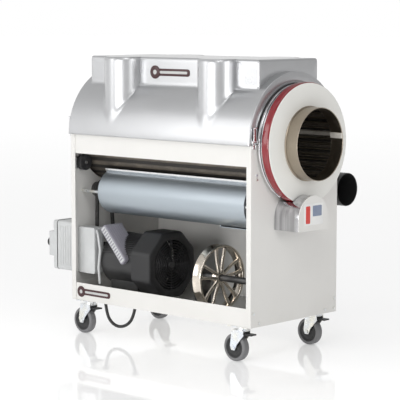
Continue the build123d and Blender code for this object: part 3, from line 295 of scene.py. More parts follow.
LOOKS = {
    "frame_white": powder_coat("white_powder_coat", (0.74, 0.73, 0.705)),
    "hood_silver": metallic_paint("silver_hood_paint", (0.54, 0.545, 0.555), 0.27),
    "trough_grey": metallic_paint("blue_grey_satin", (0.42, 0.47, 0.51), 0.40),
    "steel": drawn_steel("ground_steel", (0.60, 0.60, 0.61), (0.3, 6.0, 6.0)),
    "neck_steel": drawn_steel("brushed_neck_steel", (0.40, 0.345, 0.28), (30.0, 0.6, 0.6), 0.22),
    "cage_steel": wire_mesh("drum_wire_cloth"),
    "slat_steel": drawn_steel("drum_slat_steel", (0.30, 0.265, 0.215), (0.5, 5.0, 5.0), 0.34, 0.2),
    # painted highlight: the polished bar is given a pale, mostly diffuse colour, so it shows bright in place
    # of its reflection
    "bright_bar": moulded("bar_painted_highlight", (0.72, 0.69, 0.63), 0.25, 300.0, 0.02, 0.6),
    "chrome": plated("chrome_plate", (0.82, 0.82, 0.83)),
    "knife": drawn_steel("knife_steel", (0.80, 0.80, 0.81), (0.2, 8.0, 8.0), 0.16, 0.06),
    "ring_red": moulded("red_drive_ring", (0.22, 0.003, 0.010), 0.16, 500.0, 0.02, 0.6),
    "disc_white": powder_coat("white_end_disc", (0.80, 0.795, 0.76), 0.36, 0.05),
    "black_metal": powder_coat("black_enamel", (0.020, 0.020, 0.021), 0.38, 0.14),
    "black_plastic": moulded("black_moulded", (0.016, 0.016, 0.017), 0.42),
    "box_grey": moulded("light_grey_moulded", (0.56, 0.57, 0.57), 0.42, 700.0, 0.06),
    "cover_grey": moulded("grey_ribbed_cover", (0.27, 0.26, 0.30), 0.42, 600.0, 0.08),
    "zinc": zinc_plate("zinc_passivate", (0.78, 0.79, 0.80)),
    "tread_grey": rubbery("grey_tread", (0.17, 0.17, 0.175), 0.5),
    "core_black": moulded("black_wheel_core", (0.018, 0.018, 0.019), 0.36),
    "belt_black": rubbery("belt_rubber", (0.016, 0.016, 0.016)),
    "cast_aluminium": plated("polished_casting", (0.78, 0.71, 0.62), 0.12),
    "dark_iron": machined_iron("machined_iron", (0.10, 0.10, 0.10)),
    "roller_black": rubbery("roller_urethane", (0.02, 0.02, 0.022), 0.45),
    "cord_black": rubbery("cable_jacket", (0.012, 0.012, 0.012), 0.45),
    "guard_polished": mirror_steel("polished_guard", (0.60, 0.60, 0.62)),
    "label_red": printed("label_red", (0.62, 0.03, 0.02)),
    "label_blue": printed("label_blue_grey", (0.20, 0.24, 0.34)),
    "label_white": printed("label_white", (0.80, 0.80, 0.79)),
    "badge_maroon": moulded("badge_maroon", (0.040, 0.005, 0.007), 0.35, 400.0, 0.03, 0.2),
    # painted reflection: a dark colour for the band in the chrome collar's channel
    "collar_dark": drawn_steel("collar_painted_reflection", (0.12, 0.10, 0.12), (1.0, 0.6, 0.6), 0.30, 0.1),
    "badge_pale": moulded("badge_pale_grey", (0.50, 0.50, 0.49), 0.35, 400.0, 0.03, 0.3),
    "gasket": rubbery("gasket_rubber", (0.02, 0.02, 0.02), 0.7),
}


# ---------------------------------------------------------------- meshes
def signed_volume(points, faces):
    """Six times the volume that the faces close, negative when they point inwards."""
    a, b, c, d = (points[faces[:, k]] for k in range(4))
    first = np.einsum("ij,ij->i", a, np.cross(b, c))
    second = np.einsum("ij,ij->i", a, np.cross(c, d))
    return float((first + second).sum())


def smooth_shaded(mesh, sharp):
    """Smooth shading, broken at edges that bend by more than the given degrees."""
    mesh.polygons.foreach_set("use_smooth", np.ones(len(mesh.polygons), bool))
    mesh.set_sharp_from_angle(angle=math.radians(sharp))
    return mesh


def add_mesh(name, points, faces, body, look, sharp):
    """Makes the mesh, turns it right side out, and puts it on its body with its material."""
    if signed_volume(points - points.mean(0), faces) < 0:
        faces = faces[:, ::-1]
    mesh = bpy.data.meshes.new(name)
    mesh.from_pydata(points.tolist(), [], faces.tolist())
    mesh.validate()
    return adopt(bpy.data.objects.new(name, smooth_shaded(mesh, sharp)), body, look)


def adopt(piece, body, look):
    bpy.context.scene.collection.objects.link(piece)
    piece.data.materials.clear()
    piece.data.materials.append(LOOKS[look])
    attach(piece, body)
    return piece


def surface(name, grid, body, look, round_u=False, round_v=False, caps=False, sharp=35.0):
    """A mesh through grid[u, v]: each four neighbours make a face, and either way may close."""
    rows, cols = grid.shape[:2]
    index = np.arange(rows * cols).reshape(rows, cols)
    if round_u:
        index = np.vstack([index, index[:1]])
    if round_v:
        index = np.hstack([index, index[:, :1]])
    faces = np.stack([index[:-1, :-1], index[1:, :-1], index[1:, 1:], index[:-1, 1:]], -1)
    points, quads = grid.reshape(-1, 3), faces.reshape(-1, 4)
    if caps:
        ends = [np.arange(cols), (np.arange(cols) + (rows - 1) * cols)[::-1]]
        return capped(name, points, quads, ends, body, look, sharp)
    return add_mesh(name, points, quads, body, look, sharp)


def capped(name, points, quads, ends, body, look, sharp):
    """A closed prism-like mesh: its end loops are filled, and all its faces are turned outwards."""
    mesh = bpy.data.meshes.new(name)
    mesh.from_pydata(points.tolist(), [], quads.tolist() + [list(map(int, cap)) for cap in ends])
    mesh.validate()
    work = bmesh.new()
    work.from_mesh(mesh)
    bmesh.ops.recalc_face_normals(work, faces=work.faces)
    work.to_mesh(mesh)
    work.free()
    return adopt(bpy.data.objects.new(name, smooth_shaded(mesh, sharp)), body, look)


def rounded(outline, radius, steps=4):
    """Each corner becomes the curve corner + radius * ((1-t)^2 * back + t^2 * ahead)."""
    corner = np.asarray(outline, float)
    back = np.roll(corner, 1, 0) - corner
    ahead = np.roll(corner, -1, 0) - corner
    back_length = np.linalg.norm(back, axis=1, keepdims=True)
    ahead_length = np.linalg.norm(ahead, axis=1, keepdims=True)
    reach = np.minimum(np.minimum(back_length, ahead_length) * 0.49, radius)
    t = np.linspace(0.0, 1.0, steps + 1)[None, :, None]
    curve = (1 - t)**2 * (back / back_length)[:, None] + t**2 * (ahead / ahead_length)[:, None]
    return (corner[:, None] + reach[:, None] * curve).reshape(-1, 2)


def turned(name, profile, centre, body, look, axis="x", steps=96, radius=0.0015, sharp=35.0):
    """A closed profile of (along, radius) points, its corners rounded, turned about an axis."""
    outline = rounded(profile, radius)
    angle = np.linspace(0, 2 * np.pi, steps, endpoint=False)[:, None]
    along = np.broadcast_to(outline[:, 0], (steps, len(outline)))
    across = outline[:, 1] * np.cos(angle)
    up = outline[:, 1] * np.sin(angle)
    if axis == "x":
        grid = np.stack([along, centre[0] + across, centre[1] + up], -1)
    else:
        grid = np.stack([centre[0] + across, along, centre[1] + up], -1)
    return surface(name, grid, body, look, True, True, sharp=sharp)


def rounded_rectangle(u0, u1, v0, v1, corner):
    """A function of an inset that gives the rounded rectangle's outline."""
    def outline(inset):
        a, b, c, d = u0 + inset, u1 - inset, v0 + inset, v1 - inset
        return rounded([(a, c), (b, c), (b, d), (a, d)], max(corner - inset, 0.0004) * 1.4, 6)
    return outline


def slab(name, outline, low, high, body, look, axis="x", edge=0.002, sharp=35.0):
    """A plate drawn out along an axis; its outline shrinks over each quarter-round edge."""
    turn = np.linspace(0, np.pi / 2, 4)
    inset = edge * (1 - np.sin(turn))
    depth = edge * (1 - np.cos(turn))
    stations = [(low + d, i) for d, i in zip(depth, inset)]
    stations += [(high - d, i) for d, i in zip(depth[::-1], inset[::-1])]
    rings = [outline(i) for _, i in stations]
    rows = np.stack([put_on_axis(ring, place, axis) for ring, (place, _) in zip(rings, stations)])
    return surface(name, rows, body, look, False, True, caps=True, sharp=sharp)


def put_on_axis(ring, place, axis):
    """(u, v) are (y, z) for axis x, (x, z) for axis y and (x, y) for axis z."""
    along = np.full(len(ring), place)
    order = {"x": (along, ring[:, 0], ring[:, 1]), "y": (ring[:, 0], along, ring[:, 1]),
             "z": (ring[:, 0], ring[:, 1], along)}
    return np.stack(order[axis], -1)


def bar_along_x(x0, x1, corners, angle, centre):
    """Two ends of a bar whose (outward, sideways) section is turned by an angle about a line."""
    y = centre[0] + corners[:, 0] * math.cos(angle) - corners[:, 1] * math.sin(angle)
    z = centre[1] + corners[:, 0] * math.sin(angle) + corners[:, 1] * math.cos(angle)
    x = np.array([x0, x1])[:, None]
    return np.stack([np.broadcast_to(v, (2, len(y))) for v in (x, y, z)], -1)


def tube(name, path, radius, body, look, sides=12, up=(0.0, 0.0, 1.0), closed=False):
    """A round bar: circles carried along the path, square to its direction."""
    path = np.asarray(path, float)
    if closed:
        ahead = np.roll(path, -1, 0) - np.roll(path, 1, 0)
    else:
        ahead = np.gradient(path, axis=0)
    ahead /= np.linalg.norm(ahead, axis=1, keepdims=True)
    side = np.cross(ahead, up)
    side /= np.linalg.norm(side, axis=1, keepdims=True)
    over = np.cross(side, ahead)
    angle = np.linspace(0, 2 * np.pi, sides, endpoint=False)[None, :, None]
    radius = np.broadcast_to(np.asarray(radius, float).reshape(-1, 1, 1), (len(path), 1, 1))
    grid = path[:, None] + radius * (side[:, None] * np.cos(angle) + over[:, None] * np.sin(angle))
    return surface(name, grid, body, look, closed, True, caps=not closed)


def smooth_min(a, b, reach):
    """The lesser of two values, with the corner between them rounded."""
    share = np.clip(0.5 + 0.5 * (b - a) / reach, 0.0, 1.0)
    return b * (1 - share) + a * share - reach * share * (1 - share)


def smooth_max(a, b, reach):
    return -smooth_min(-a, -b, reach)


def skin(node, look=None, width=0.0008):
    """A copy of a CAD node with merged corners and fine rounded edges that catch the light."""
    mesh = frame["nodes"][node].data.copy()
    work = bmesh.new()
    work.from_mesh(mesh)
    bmesh.ops.remove_doubles(work, verts=work.verts, dist=1e-5)
    bmesh.ops.dissolve_limit(work, angle_limit=math.radians(0.4), verts=work.verts, edges=work.edges)
    work.to_mesh(mesh)
    work.free()
    made = bpy.data.objects.new(node + "_skin", smooth_shaded(mesh, 35.0))
    piece = adopt(made, BODY_OF[node], look or SLOT_OF[node])
    bevel = piece.modifiers.new("edges", "BEVEL")
    bevel.width = width
    bevel.segments = 2
    bevel.limit_method = "ANGLE"
    bevel.angle_limit = math.radians(40)
    bevel.harden_normals = True
    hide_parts(node)
    return piece


# ---------------------------------------------------------------- camera, lights and floor
FLOOR_GLOW = 0.25


def make_camera():
    """Stands in front of the in-feed end, a little above the hood, and looks slightly down."""
    data = bpy.data.cameras.new("camera")
    data.lens = 151.0
    data.sensor_width = 36.0
    camera = bpy.data.objects.new("camera", data)
    camera.location = (MID_X + 4.2731, MID_Y - 4.6025, 1.234)
    camera.rotation_euler = (math.radians(90 - 6.38), 0.0, math.radians(42.92))
    bpy.context.scene.collection.objects.link(camera)
    bpy.context.scene.camera = camera


def add_softbox(name, place, aim, size, power, colour=(1.0, 1.0, 1.0)):
    data = bpy.data.lights.new(name, "AREA")
    data.shape = "RECTANGLE"
    data.size, data.size_y = size
    data.energy = power
    data.color = colour
    light = bpy.data.objects.new(name, data)
    light.location = place
    light.rotation_euler = (Vector(aim) - Vector(place)).to_track_quat("-Z", "Y").to_euler()
    bpy.context.scene.collection.objects.link(light)


def make_lights():
    """A studio that is dim overhead and towards +X; the camera itself sees plain white behind."""
    world = bpy.data.worlds.new("studio")
    world.use_nodes = True
    sky = Nodes(world.node_tree)
    toward = sky.node("ShaderNodeTexCoord", output="Generated")
    x, z = (sky.node("ShaderNodeSeparateXYZ", None, {0: toward}, axis) for axis in (0, 2))
    studio = sky.spread(z, -0.1, 0.9, 0.92, 0.50) * sky.spread(x, -0.5, 0.9, 1.05, 0.50)
    seen = sky.node("ShaderNodeLightPath", output="Is Camera Ray")
    background = world.node_tree.nodes["Background"]
    background.inputs["Color"].default_value = (1.0, 1.0, 1.0, 1.0)
    world.node_tree.links.new((studio + seen * (1.0 - studio)).socket, background.inputs["Strength"])
    bpy.context.scene.world = world
    middle = (MID_X, MID_Y, 0.6)
    add_softbox("key", (2.4, -2.6, 3.2), middle, (1.6, 1.6), 26.0)
    add_softbox("left_front", (-2.2, -3.4, 1.8), middle, (1.2, 2.2), 18.0)
    add_softbox("overhead", (0.0, -0.4, 3.6), middle, (2.6, 1.4), 7.0)
    add_softbox("low_front", (0.3, -3.4, 0.75), (MID_X, MID_Y, 0.35), (1.4, 0.9), 36.0)
    add_softbox("right", (3.6, -0.6, 1.3), middle, (1.6, 1.6), 22.0)


def make_floor():
    half = 60.0
    points = [(-half, -half, 0.0), (half, -half, 0.0), (half, half, 0.0), (-half, half, 0.0)]
    mesh = bpy.data.meshes.new("floor")
    mesh.from_pydata(points, [], [(0, 1, 2, 3)])
    floor = bpy.data.objects.new("floor", mesh)
    bpy.context.scene.collection.objects.link(floor)
    look = Look("pale_floor", 0.05)
    cloud = look.noise(look.place(), 0.7, 2.0)
    look.set("Base Color", look.mix(cloud, (0.90, 0.90, 0.90, 1.0), (0.92, 0.92, 0.92, 1.0)))
    look.set("Emission Color", (1.0, 1.0, 1.0, 1.0))
    look.shader.inputs["Emission Strength"].default_value = FLOOR_GLOW
    mesh.materials.append(look.material)


# ---------------------------------------------------------------- power cord
CORD_RADIUS = 0.006
CORD_ROUTE = [
    (-0.325, -0.190, 0.124),
    (-0.317, -0.191, 0.082),
    (-0.288, -0.194, 0.052),
    (-0.246, -0.197, 0.0415),
    (-0.204, -0.195, 0.053),
    (-0.176, -0.190, 0.084),
    (-0.168, -0.187, 0.124),
]


def make_cord():
    """The cable's loop under the base, on one smooth line through its route."""
    data = bpy.data.curves.new("cable_loop", "CURVE")
    data.dimensions = "3D"
    data.bevel_depth = CORD_RADIUS
    data.bevel_resolution = 6
    data.resolution_u = 16
    data.use_fill_caps = True
    line = data.splines.new("NURBS")
    line.points.add(len(CORD_ROUTE) - 1)
    route = [(MID_X + x, MID_Y + y, z) for x, y, z in CORD_ROUTE]
    line.points.foreach_set("co", np.array([(*p, 1.0) for p in route]).ravel())
    line.order_u = 3
    line.use_endpoint_u = True
    cord = adopt(bpy.data.objects.new("cable_loop", data), "root", "cord_black")
    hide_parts("power_cord")
    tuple(route[0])


# ---------------------------------------------------------------- hood
HOOD_WALL = 0.004
COLUMN_R = 0.078
COLUMN_X = 0.239
RAISED_HALF_X = 0.426
RAISED_HALF_Y = 0.163
TOP_EDGE = 0.009
OPENING_R = 0.200
HOOD_R = (HOOD_HIGH.y - HOOD_LOW.y) / 2


def hood_radius(x, angle):
    """Distance from the drum's axis to the hood's skin: the greater of the half round and of the
    raised box, whose side stands out by each column's circle, with rounded corners between."""
    across = np.abs(np.cos(angle)) + 1e-6
    rise = np.abs(np.sin(angle)) + 1e-6
    column = np.sqrt(np.clip(COLUMN_R**2 - (np.abs(x) - COLUMN_X)**2, 0.0, None))
    side = (RAISED_HALF_Y + column) / across
    top = (HOOD_HIGH.z - DRUM_Z) / rise
    raised = smooth_min(side, top, 0.016)
    inward = np.clip((RAISED_HALF_X - np.abs(x)) / TOP_EDGE, 0.0, 1.0)
    raised = raised - TOP_EDGE * (1 - np.sqrt(1 - (1 - inward)**2))
    raised = np.where(np.abs(x) <= RAISED_HALF_X, raised, 0.0)
    return smooth_max(np.full_like(raised, HOOD_R), raised, 0.010)


def hood_stations():
    """Places along X, close together where the skin turns: the ends, the box's ends, the columns."""
    near = np.array([0.0, 0.0003, 0.0008, 0.0018, 0.0035, 0.006, 0.009, 0.013, 0.018, 0.025])
    spots = [np.linspace(0, 0.455, 76)]
    spots.append(RAISED_HALF_X - near)
    spots.append(np.array([RAISED_HALF_X + 0.0001, RAISED_HALF_X + 0.003]))
    spots.append(COLUMN_X + COLUMN_R - near)
    spots.append(COLUMN_X - COLUMN_R + near)
    half = np.unique(np.round(np.concatenate(spots), 5))
    return np.concatenate([-half[::-1], half[1:]])


def make_hood():
    """One skin over the drum with its two end walls, given a wall's thickness inwards."""
    end = (HOOD_HIGH.x - HOOD_LOW.x) / 2
    along = hood_stations()
    cap_x = np.array([end, end, end, end - 0.0012, end - 0.003])
    cap_r = np.array([OPENING_R, 0.228, HOOD_R - 0.0035, HOOD_R - 0.0010, HOOD_R])
    x = np.concatenate([-cap_x, along, cap_x[::-1]])[:, None]
    limit = np.concatenate([cap_r, np.full(len(along), 1.0), cap_r[::-1]])[:, None]
    fine = np.linspace(0, 1, 260)
    angle = (np.pi * fine)[None, :]
    radius = np.minimum(hood_radius(x, angle), limit)
    y = -radius * np.cos(angle)
    z = np.maximum(DRUM_Z + radius * np.sin(angle), HOOD_LOW.z)
    grid = np.stack([np.broadcast_to(MID_X + x, y.shape), MID_Y + y, z], -1)
    hood = surface("hood_shell", grid, "hood", "hood_silver", sharp=32.0)
    wall = hood.modifiers.new("wall", "SOLIDIFY")
    wall.thickness = HOOD_WALL
    wall.offset = -1.0
    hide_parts("hood")
    lip_out = HOOD_R - HOOD_WALL - 0.0005
    lip_in = (BACK - FRONT) / 2 - 0.016
    for side, label in ((-1, "front"), (1, "rear")):
        y0, y1 = sorted((MID_Y + side * lip_in, MID_Y + side * lip_out))
        outline = rounded_rectangle(MID_X - end + 0.0045, MID_X + end - 0.0045, y0, y1, 0.001)
        slab("hood_lip_" + label, outline, HOOD_LOW.z, HOOD_LOW.z + HOOD_WALL, "hood", "hood_silver",
             "z", 0.0006)


def disc_outline(x, z, radius):
    """A function of an inset that gives the disc's outline."""
    def outline(inset):
        turn = np.linspace(0, 2 * np.pi, 48, endpoint=False)
        return np.stack([x + (radius - inset) * np.cos(turn), z + (radius - inset) * np.sin(turn)], -1)
    return outline


# Each badge: its label, its body, the face it lies on, its left end and middle height, and its
# length, the disc's radius and half of the bar's height.
BADGES = [
    ("hood", "hood", MID_Y - 0.163, MID_X - 0.105, 1.015, 0.200, 0.0245, 0.0135),
    ("base", "root", FRONT + 0.003, MID_X - 0.430, BASE + 0.034, 0.180, 0.021, 0.0120),
]


def make_badges():
    """Plain nameplates with no wording: a dark disc at the left end of a rounded bar."""
    for label, body, face, left, middle, length, disc_r, half in BADGES:
        disc_x = left + disc_r
        bar = rounded_rectangle(disc_x, left + length, middle - half, middle + half, half * 0.8)
        slab(label + "_badge_bar", bar, face - 0.0016, face, body, "badge_maroon", "y", 0.0005)
        field = rounded_rectangle(disc_x + disc_r, left + length - 0.012, middle - half * 0.36,
                                  middle + half * 0.36, half * 0.3)
        slab(label + "_badge_field", field, face - 0.0021, face - 0.0014, body, "badge_pale", "y", 0.0002)
        slab(label + "_badge_disc", disc_outline(disc_x, middle, disc_r), face - 0.0026, face, body,
             "badge_maroon", "y", 0.0008)
        slab(label + "_badge_face", disc_outline(disc_x, middle, disc_r * 0.36), face - 0.0030,
             face - 0.0024, body, "badge_pale", "y", 0.0003)


# ---------------------------------------------------------------- drum
CAGE_R = 0.190
CAGE_WALL = 0.0025
NECK_BORE_R = 0.1266
NECK_OUT_R = 0.1298
DISC_BORE_R = 0.130 + 0.0002
COLLAR_LIP_R = 0.2115
COLLAR_BED_R = 0.2095
PADDLE_RISE = 0.024
PADDLE_HALF = 0.010
SLAT_R = 0.1877
SLAT_COUNT = 60
SLATS_PER_PADDLE = 15


def hoop(x0, x1, inner, outer):
    """A flat ring's section, between two places along the axis and two radii."""
    return [(x0, inner), (x1, inner), (x1, outer), (x0, outer)]


def make_drum():
    """Turned rings and neck, and a cage of wire cloth, hoops and slats."""
    centre = (MID_Y, DRUM_Z)
    low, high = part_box("drum_collars")
    cage_low, cage_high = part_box("drum_cage")
    neck_low, neck_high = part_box("drum_neck")
    disc_low, disc_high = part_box("drum_disc")
    collar_x = RIGHT + 0.003
    collar = [(collar_x, CAGE_R), (high.x, CAGE_R), (high.x, COLLAR_LIP_R), (high.x - 0.008, COLLAR_LIP_R),
              (high.x - 0.0095, COLLAR_BED_R), (collar_x + 0.0095, COLLAR_BED_R),
              (collar_x + 0.008, COLLAR_LIP_R), (collar_x, COLLAR_LIP_R)]
    turned("drum_collar_right", collar, centre, "drum", "chrome", steps=160)
    # painted reflection: a thin dark band in the collar's channel stands in for the dark reflection in the
    # chrome
    turned("drum_collar_channel", hoop(collar_x + 0.0095, high.x - 0.0095, 0.2094, 0.2102), centre,
           "drum", "collar_dark", steps=160, radius=0.0002)
    rim = turned("drum_exit_rim", hoop(low.x, LEFT - 0.003, CAGE_R, 0.2055), centre, "drum", "chrome",
                 steps=160, radius=0.003)
    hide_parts("drum_collars")
    ring = turned("red_drive_ring", hoop(ring_low.x, ring_high.x, 0.1880, 0.2176), centre, "drum",
                  "ring_red", steps=180, radius=0.005)
    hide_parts("drum_drive_ring")
    disc = turned("white_end_disc", hoop(disc_low.x, disc_high.x, DISC_BORE_R, 0.2148), centre, "drum",
                  "disc_white", steps=180, radius=0.0022)
    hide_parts("drum_disc")
    pipe = [(neck_low.x, NECK_BORE_R), (neck_high.x - 0.003, NECK_BORE_R), (neck_high.x, 0.1280),
            (neck_high.x - 0.0005, NECK_OUT_R), (neck_high.x - 0.004, NECK_OUT_R),
            (disc_high.x + 0.006, NECK_OUT_R), (disc_high.x + 0.0004, NECK_OUT_R),
            (neck_low.x, NECK_OUT_R)]
    neck = turned("feed_neck", pipe, centre, "drum", "neck_steel", steps=160, radius=0.0016)
    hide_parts("drum_neck")
    turned("neck_weld_bead", [(disc_high.x - 0.0004, 0.1296), (disc_high.x + 0.0042, 0.1296),
                              (disc_high.x + 0.0030, 0.1330), (disc_high.x - 0.0004, 0.1345)],
           centre, "drum", "neck_steel", steps=160, radius=0.002)
    cloth = turned("drum_wire_cloth", hoop(cage_low.x + 0.004, cage_high.x, 0.1878, 0.1886), centre,
                   "drum", "cage_steel", steps=120, radius=0.0002)
    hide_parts("drum_cage")
    for number, x in enumerate((cage_low.x, cage_high.x - 0.006)):
        turned(f"drum_hoop_{number}", hoop(x, x + 0.006, CAGE_R - CAGE_WALL, CAGE_R - 0.0002), centre,
               "drum", "slat_steel", radius=0.0008)
    make_drum_slats(cage_low.x + 0.006, cage_high.x - 0.002)
    # painted highlight: this bar's pale colour stands in for the polished steel's reflection
    bar_z = DRUM_Z + PADDLE_RISE
    wall_y = MID_Y + math.sqrt(NECK_BORE_R**2 - (PADDLE_RISE + PADDLE_HALF)**2)
    bar = rounded_rectangle(wall_y - 0.002, wall_y + 0.003, bar_z - PADDLE_HALF, bar_z + PADDLE_HALF, 0.001)
    slab("neck_bright_bar", bar, neck_low.x + 0.0005, neck_high.x - 0.001, "drum", "bright_bar", "x", 0.0006)


def make_drum_slats(x0, x1):
    """Flat bars along the drum, on its inner wall; one in fifteen is a broad polished paddle, whose pale
    colour is a painted highlight.
    """
    for number in range(SLAT_COUNT):
        paddle = number % SLATS_PER_PADDLE == 0
        angle = math.asin(PADDLE_RISE / SLAT_R) + 2 * math.pi * number / SLAT_COUNT
        tall = 0.010 if paddle else 0.003
        half = PADDLE_HALF if paddle else 0.0045
        corners = rounded([(SLAT_R, -half), (SLAT_R, half), (SLAT_R - tall, half * 0.7),
                           (SLAT_R - tall, -half * 0.7)], 0.0015, 3)
        grid = bar_along_x(x0, x1, corners, angle, (MID_Y, DRUM_Z))
        surface(f"drum_slat_{number:02d}", grid, "drum", "bright_bar" if paddle else "slat_steel",
                False, True, caps=True)


# ---------------------------------------------------------------- flywheel
SPOKE_PAIRS = 5
SPOKE_START = 0.020


def make_flywheel():
    """A turned rim and hub joined by five pairs of curved spokes."""
    low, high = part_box("spoked_wheel")
    centre = ((low.y + high.y) / 2, (low.z + high.z) / 2)
    outer = (high.y - low.y) / 2 - 0.0003
    middle = (low.x + high.x) / 2
    section = [(low.x, outer - 0.012), (middle, outer - 0.015), (high.x, outer - 0.010), (high.x, outer),
               (middle + 0.006, outer - 0.002), (middle - 0.006, outer - 0.002), (low.x, outer)]
    rim = turned("flywheel_rim", section, centre, "countershaft", "cast_aluminium", steps=140, radius=0.004)
    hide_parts("spoked_wheel")
    turned("flywheel_hub", [(low.x + 0.004, 0.0121), (high.x - 0.004, 0.0121), (high.x - 0.004, 0.018),
                            (high.x - 0.010, 0.024), (low.x + 0.008, 0.026), (low.x + 0.004, 0.020)],
           centre, "countershaft", "cast_aluminium", steps=64, radius=0.003)
    for number in range(SPOKE_PAIRS):
        angle = 2 * math.pi * number / SPOKE_PAIRS + math.pi / 2
        for side, letter in ((-1, "a"), (1, "b")):
            name = f"flywheel_spoke_{number}_{letter}"
            make_spoke(name, angle, side, centre, outer - 0.013, high.x - 0.011)


def make_spoke(name, angle, side, centre, reach, x):
    """A tapered bar from hub to rim: it leaves beside its twin and bows away as sin(pi * s)."""
    s = np.linspace(0.0, 1.0, 17)
    radius = SPOKE_START + (reach - SPOKE_START) * s
    swing = side * (0.0085 / radius + 0.13 * s + 0.05 * np.sin(np.pi * s))
    line_y = centre[0] + radius * np.cos(angle + swing)
    line_z = centre[1] + radius * np.sin(angle + swing)
    path = np.stack([np.full(17, x) - 0.004 * np.sin(np.pi * s), line_y, line_z], -1)
    ahead = np.gradient(path, axis=0)
    ahead /= np.linalg.norm(ahead, axis=1, keepdims=True)
    across = np.cross(ahead, (1.0, 0.0, 0.0))
    ring = rounded([(-1, -1), (1, -1), (1, 1), (-1, 1)], 0.9, 4)
    half_width = (0.0078 - 0.0020 * np.sin(np.pi * s))[:, None, None]
    grid = path[:, None] + ring[None, :, :1] * half_width * across[:, None]
    grid = grid + ring[None, :, 1:] * 0.0055 * np.array([1.0, 0.0, 0.0])
    surface(name, grid, "countershaft", "cast_aluminium", False, True, caps=True, sharp=50.0)


# ---------------------------------------------------------------- motor
FIN_COUNT = 28
FIN_ROOT = 0.097
FIN_TIP = 0.1035


def make_motor():
    """A finned shell, an octagonal fan cover with a ring grille, and the fan."""
    low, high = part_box("motor_body")
    fan_low, fan_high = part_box("motor_fan_cover")
    centre = ((fan_low.y + fan_high.y) / 2, (fan_low.z + fan_high.z) / 2)
    make_motor_shell(low, high, centre)
    make_fan_cover(fan_low, fan_high, centre)
    skin("motor_body", "black_metal")


def make_motor_shell(low, high, centre):
    """Cooling fins: rounded ribs that run along the motor's barrel."""
    for number in range(FIN_COUNT):
        angle = math.radians(20) + math.radians(140) * number / (FIN_COUNT - 1)
        section = [(FIN_ROOT, -0.0012), (FIN_ROOT, 0.0012), (FIN_TIP, 0.0008), (FIN_TIP, -0.0008)]
        corners = rounded(section, 0.0006, 2)
        grid = bar_along_x(low.x + 0.022, high.x - 0.004, corners, angle, centre)
        surface(f"motor_fin_{number:02d}", grid, "root", "black_metal", False, True, caps=True)


def octagon(flats, inset, corner=0.012):
    """An eight-sided outline with rounded corners, flat at the top."""
    reach = (flats / 2 - inset) / math.cos(math.pi / 8)
    turn = np.arange(8) * np.pi / 4 + np.pi / 8
    return rounded(np.stack([reach * np.cos(turn), reach * np.sin(turn)], -1), corner, 5)


def make_fan_cover(low, high, centre):
    flats = high.y - low.y - 0.0004
    steps = [(low.x, 0.0), (high.x - 0.010, 0.0), (high.x - 0.004, 0.0015), (high.x - 0.001, 0.005),
             (high.x, 0.010), (high.x, 0.020)]
    rings = [octagon(flats, inset) for _, inset in steps]
    spots = [x for x, _ in steps]
    angle = np.arctan2(rings[-1][:, 1], rings[-1][:, 0])
    circle = np.stack([np.cos(angle), np.sin(angle)], -1)
    rings += [0.101 * circle, 0.098 * circle, 0.098 * circle, 0.108 * circle, 0.108 * circle]
    spots += [high.x, high.x - 0.002, high.x - 0.006, high.x - 0.008, low.x]
    rows = [put_on_axis(ring + np.array(centre), x, "x") for ring, x in zip(rings, spots)]
    cover = surface("motor_fan_cover_shell", np.stack(rows), "root", "black_plastic", True, True)
    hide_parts("motor_fan_cover")
    turn = np.linspace(0, 2 * np.pi, 72, endpoint=False)
    for number, radius in enumerate(np.linspace(0.020, 0.096, 9)):
        path = np.stack([np.full(72, high.x - 0.003), centre[0] + radius * np.cos(turn),
                         centre[1] + radius * np.sin(turn)], -1)
        tube(f"fan_grille_ring_{number}", path, 0.0019, "root", "black_metal", 8, (1.0, 0.0, 0.0), True)
    for number in range(4):
        angle = math.pi * number / 4
        reach = np.linspace(-0.099, 0.099, 3)
        path = np.stack([np.full(3, high.x - 0.0055), centre[0] + reach * math.cos(angle),
                         centre[1] + reach * math.sin(angle)], -1)
        tube(f"fan_grille_bar_{number}", path, 0.0022, "root", "black_metal", 8, (1.0, 0.0, 0.0))
    boss = [(high.x - 0.006, 0.0), (high.x - 0.0006, 0.0), (high.x - 0.0006, 0.014), (high.x - 0.006, 0.017)]
    turned("fan_grille_boss", boss, centre, "root", "black_metal", steps=40, radius=0.001)
    make_fan(high.x - 0.050, high.x - 0.018, centre)


def make_fan(x0, x1, centre):
    """Six twisted blades on a hub, just behind the grille."""
    turned("motor_fan_hub", [(x0, 0.001), (x1, 0.001), (x1, 0.026), (x0, 0.030)], centre, "root",
           "black_plastic", steps=40, radius=0.003)
    reach = np.linspace(0.024, 0.092, 8)[:, None]
    chord = np.linspace(-1.0, 1.0, 5)[None, :]
    for number in range(6):
        angle = 2 * math.pi * number / 6 + chord * 0.26 + 0.2 * (reach - 0.024) / 0.068
        x = (x0 + x1) / 2 + chord * 0.013 * np.ones_like(reach)
        grid = np.stack([x, centre[0] + reach * np.cos(angle), centre[1] + reach * np.sin(angle)], -1)
        blade = surface(f"motor_fan_blade_{number}", grid, "root", "black_plastic")
        wall = blade.modifiers.new("wall", "SOLIDIFY")
        wall.thickness = 0.0016
        wall.offset = 0.0


COVER_LENGTH = 0.172
COVER_WIDTH = 0.034
COVER_DEPTH = 0.089
COVER_TILT = math.radians(48.0)


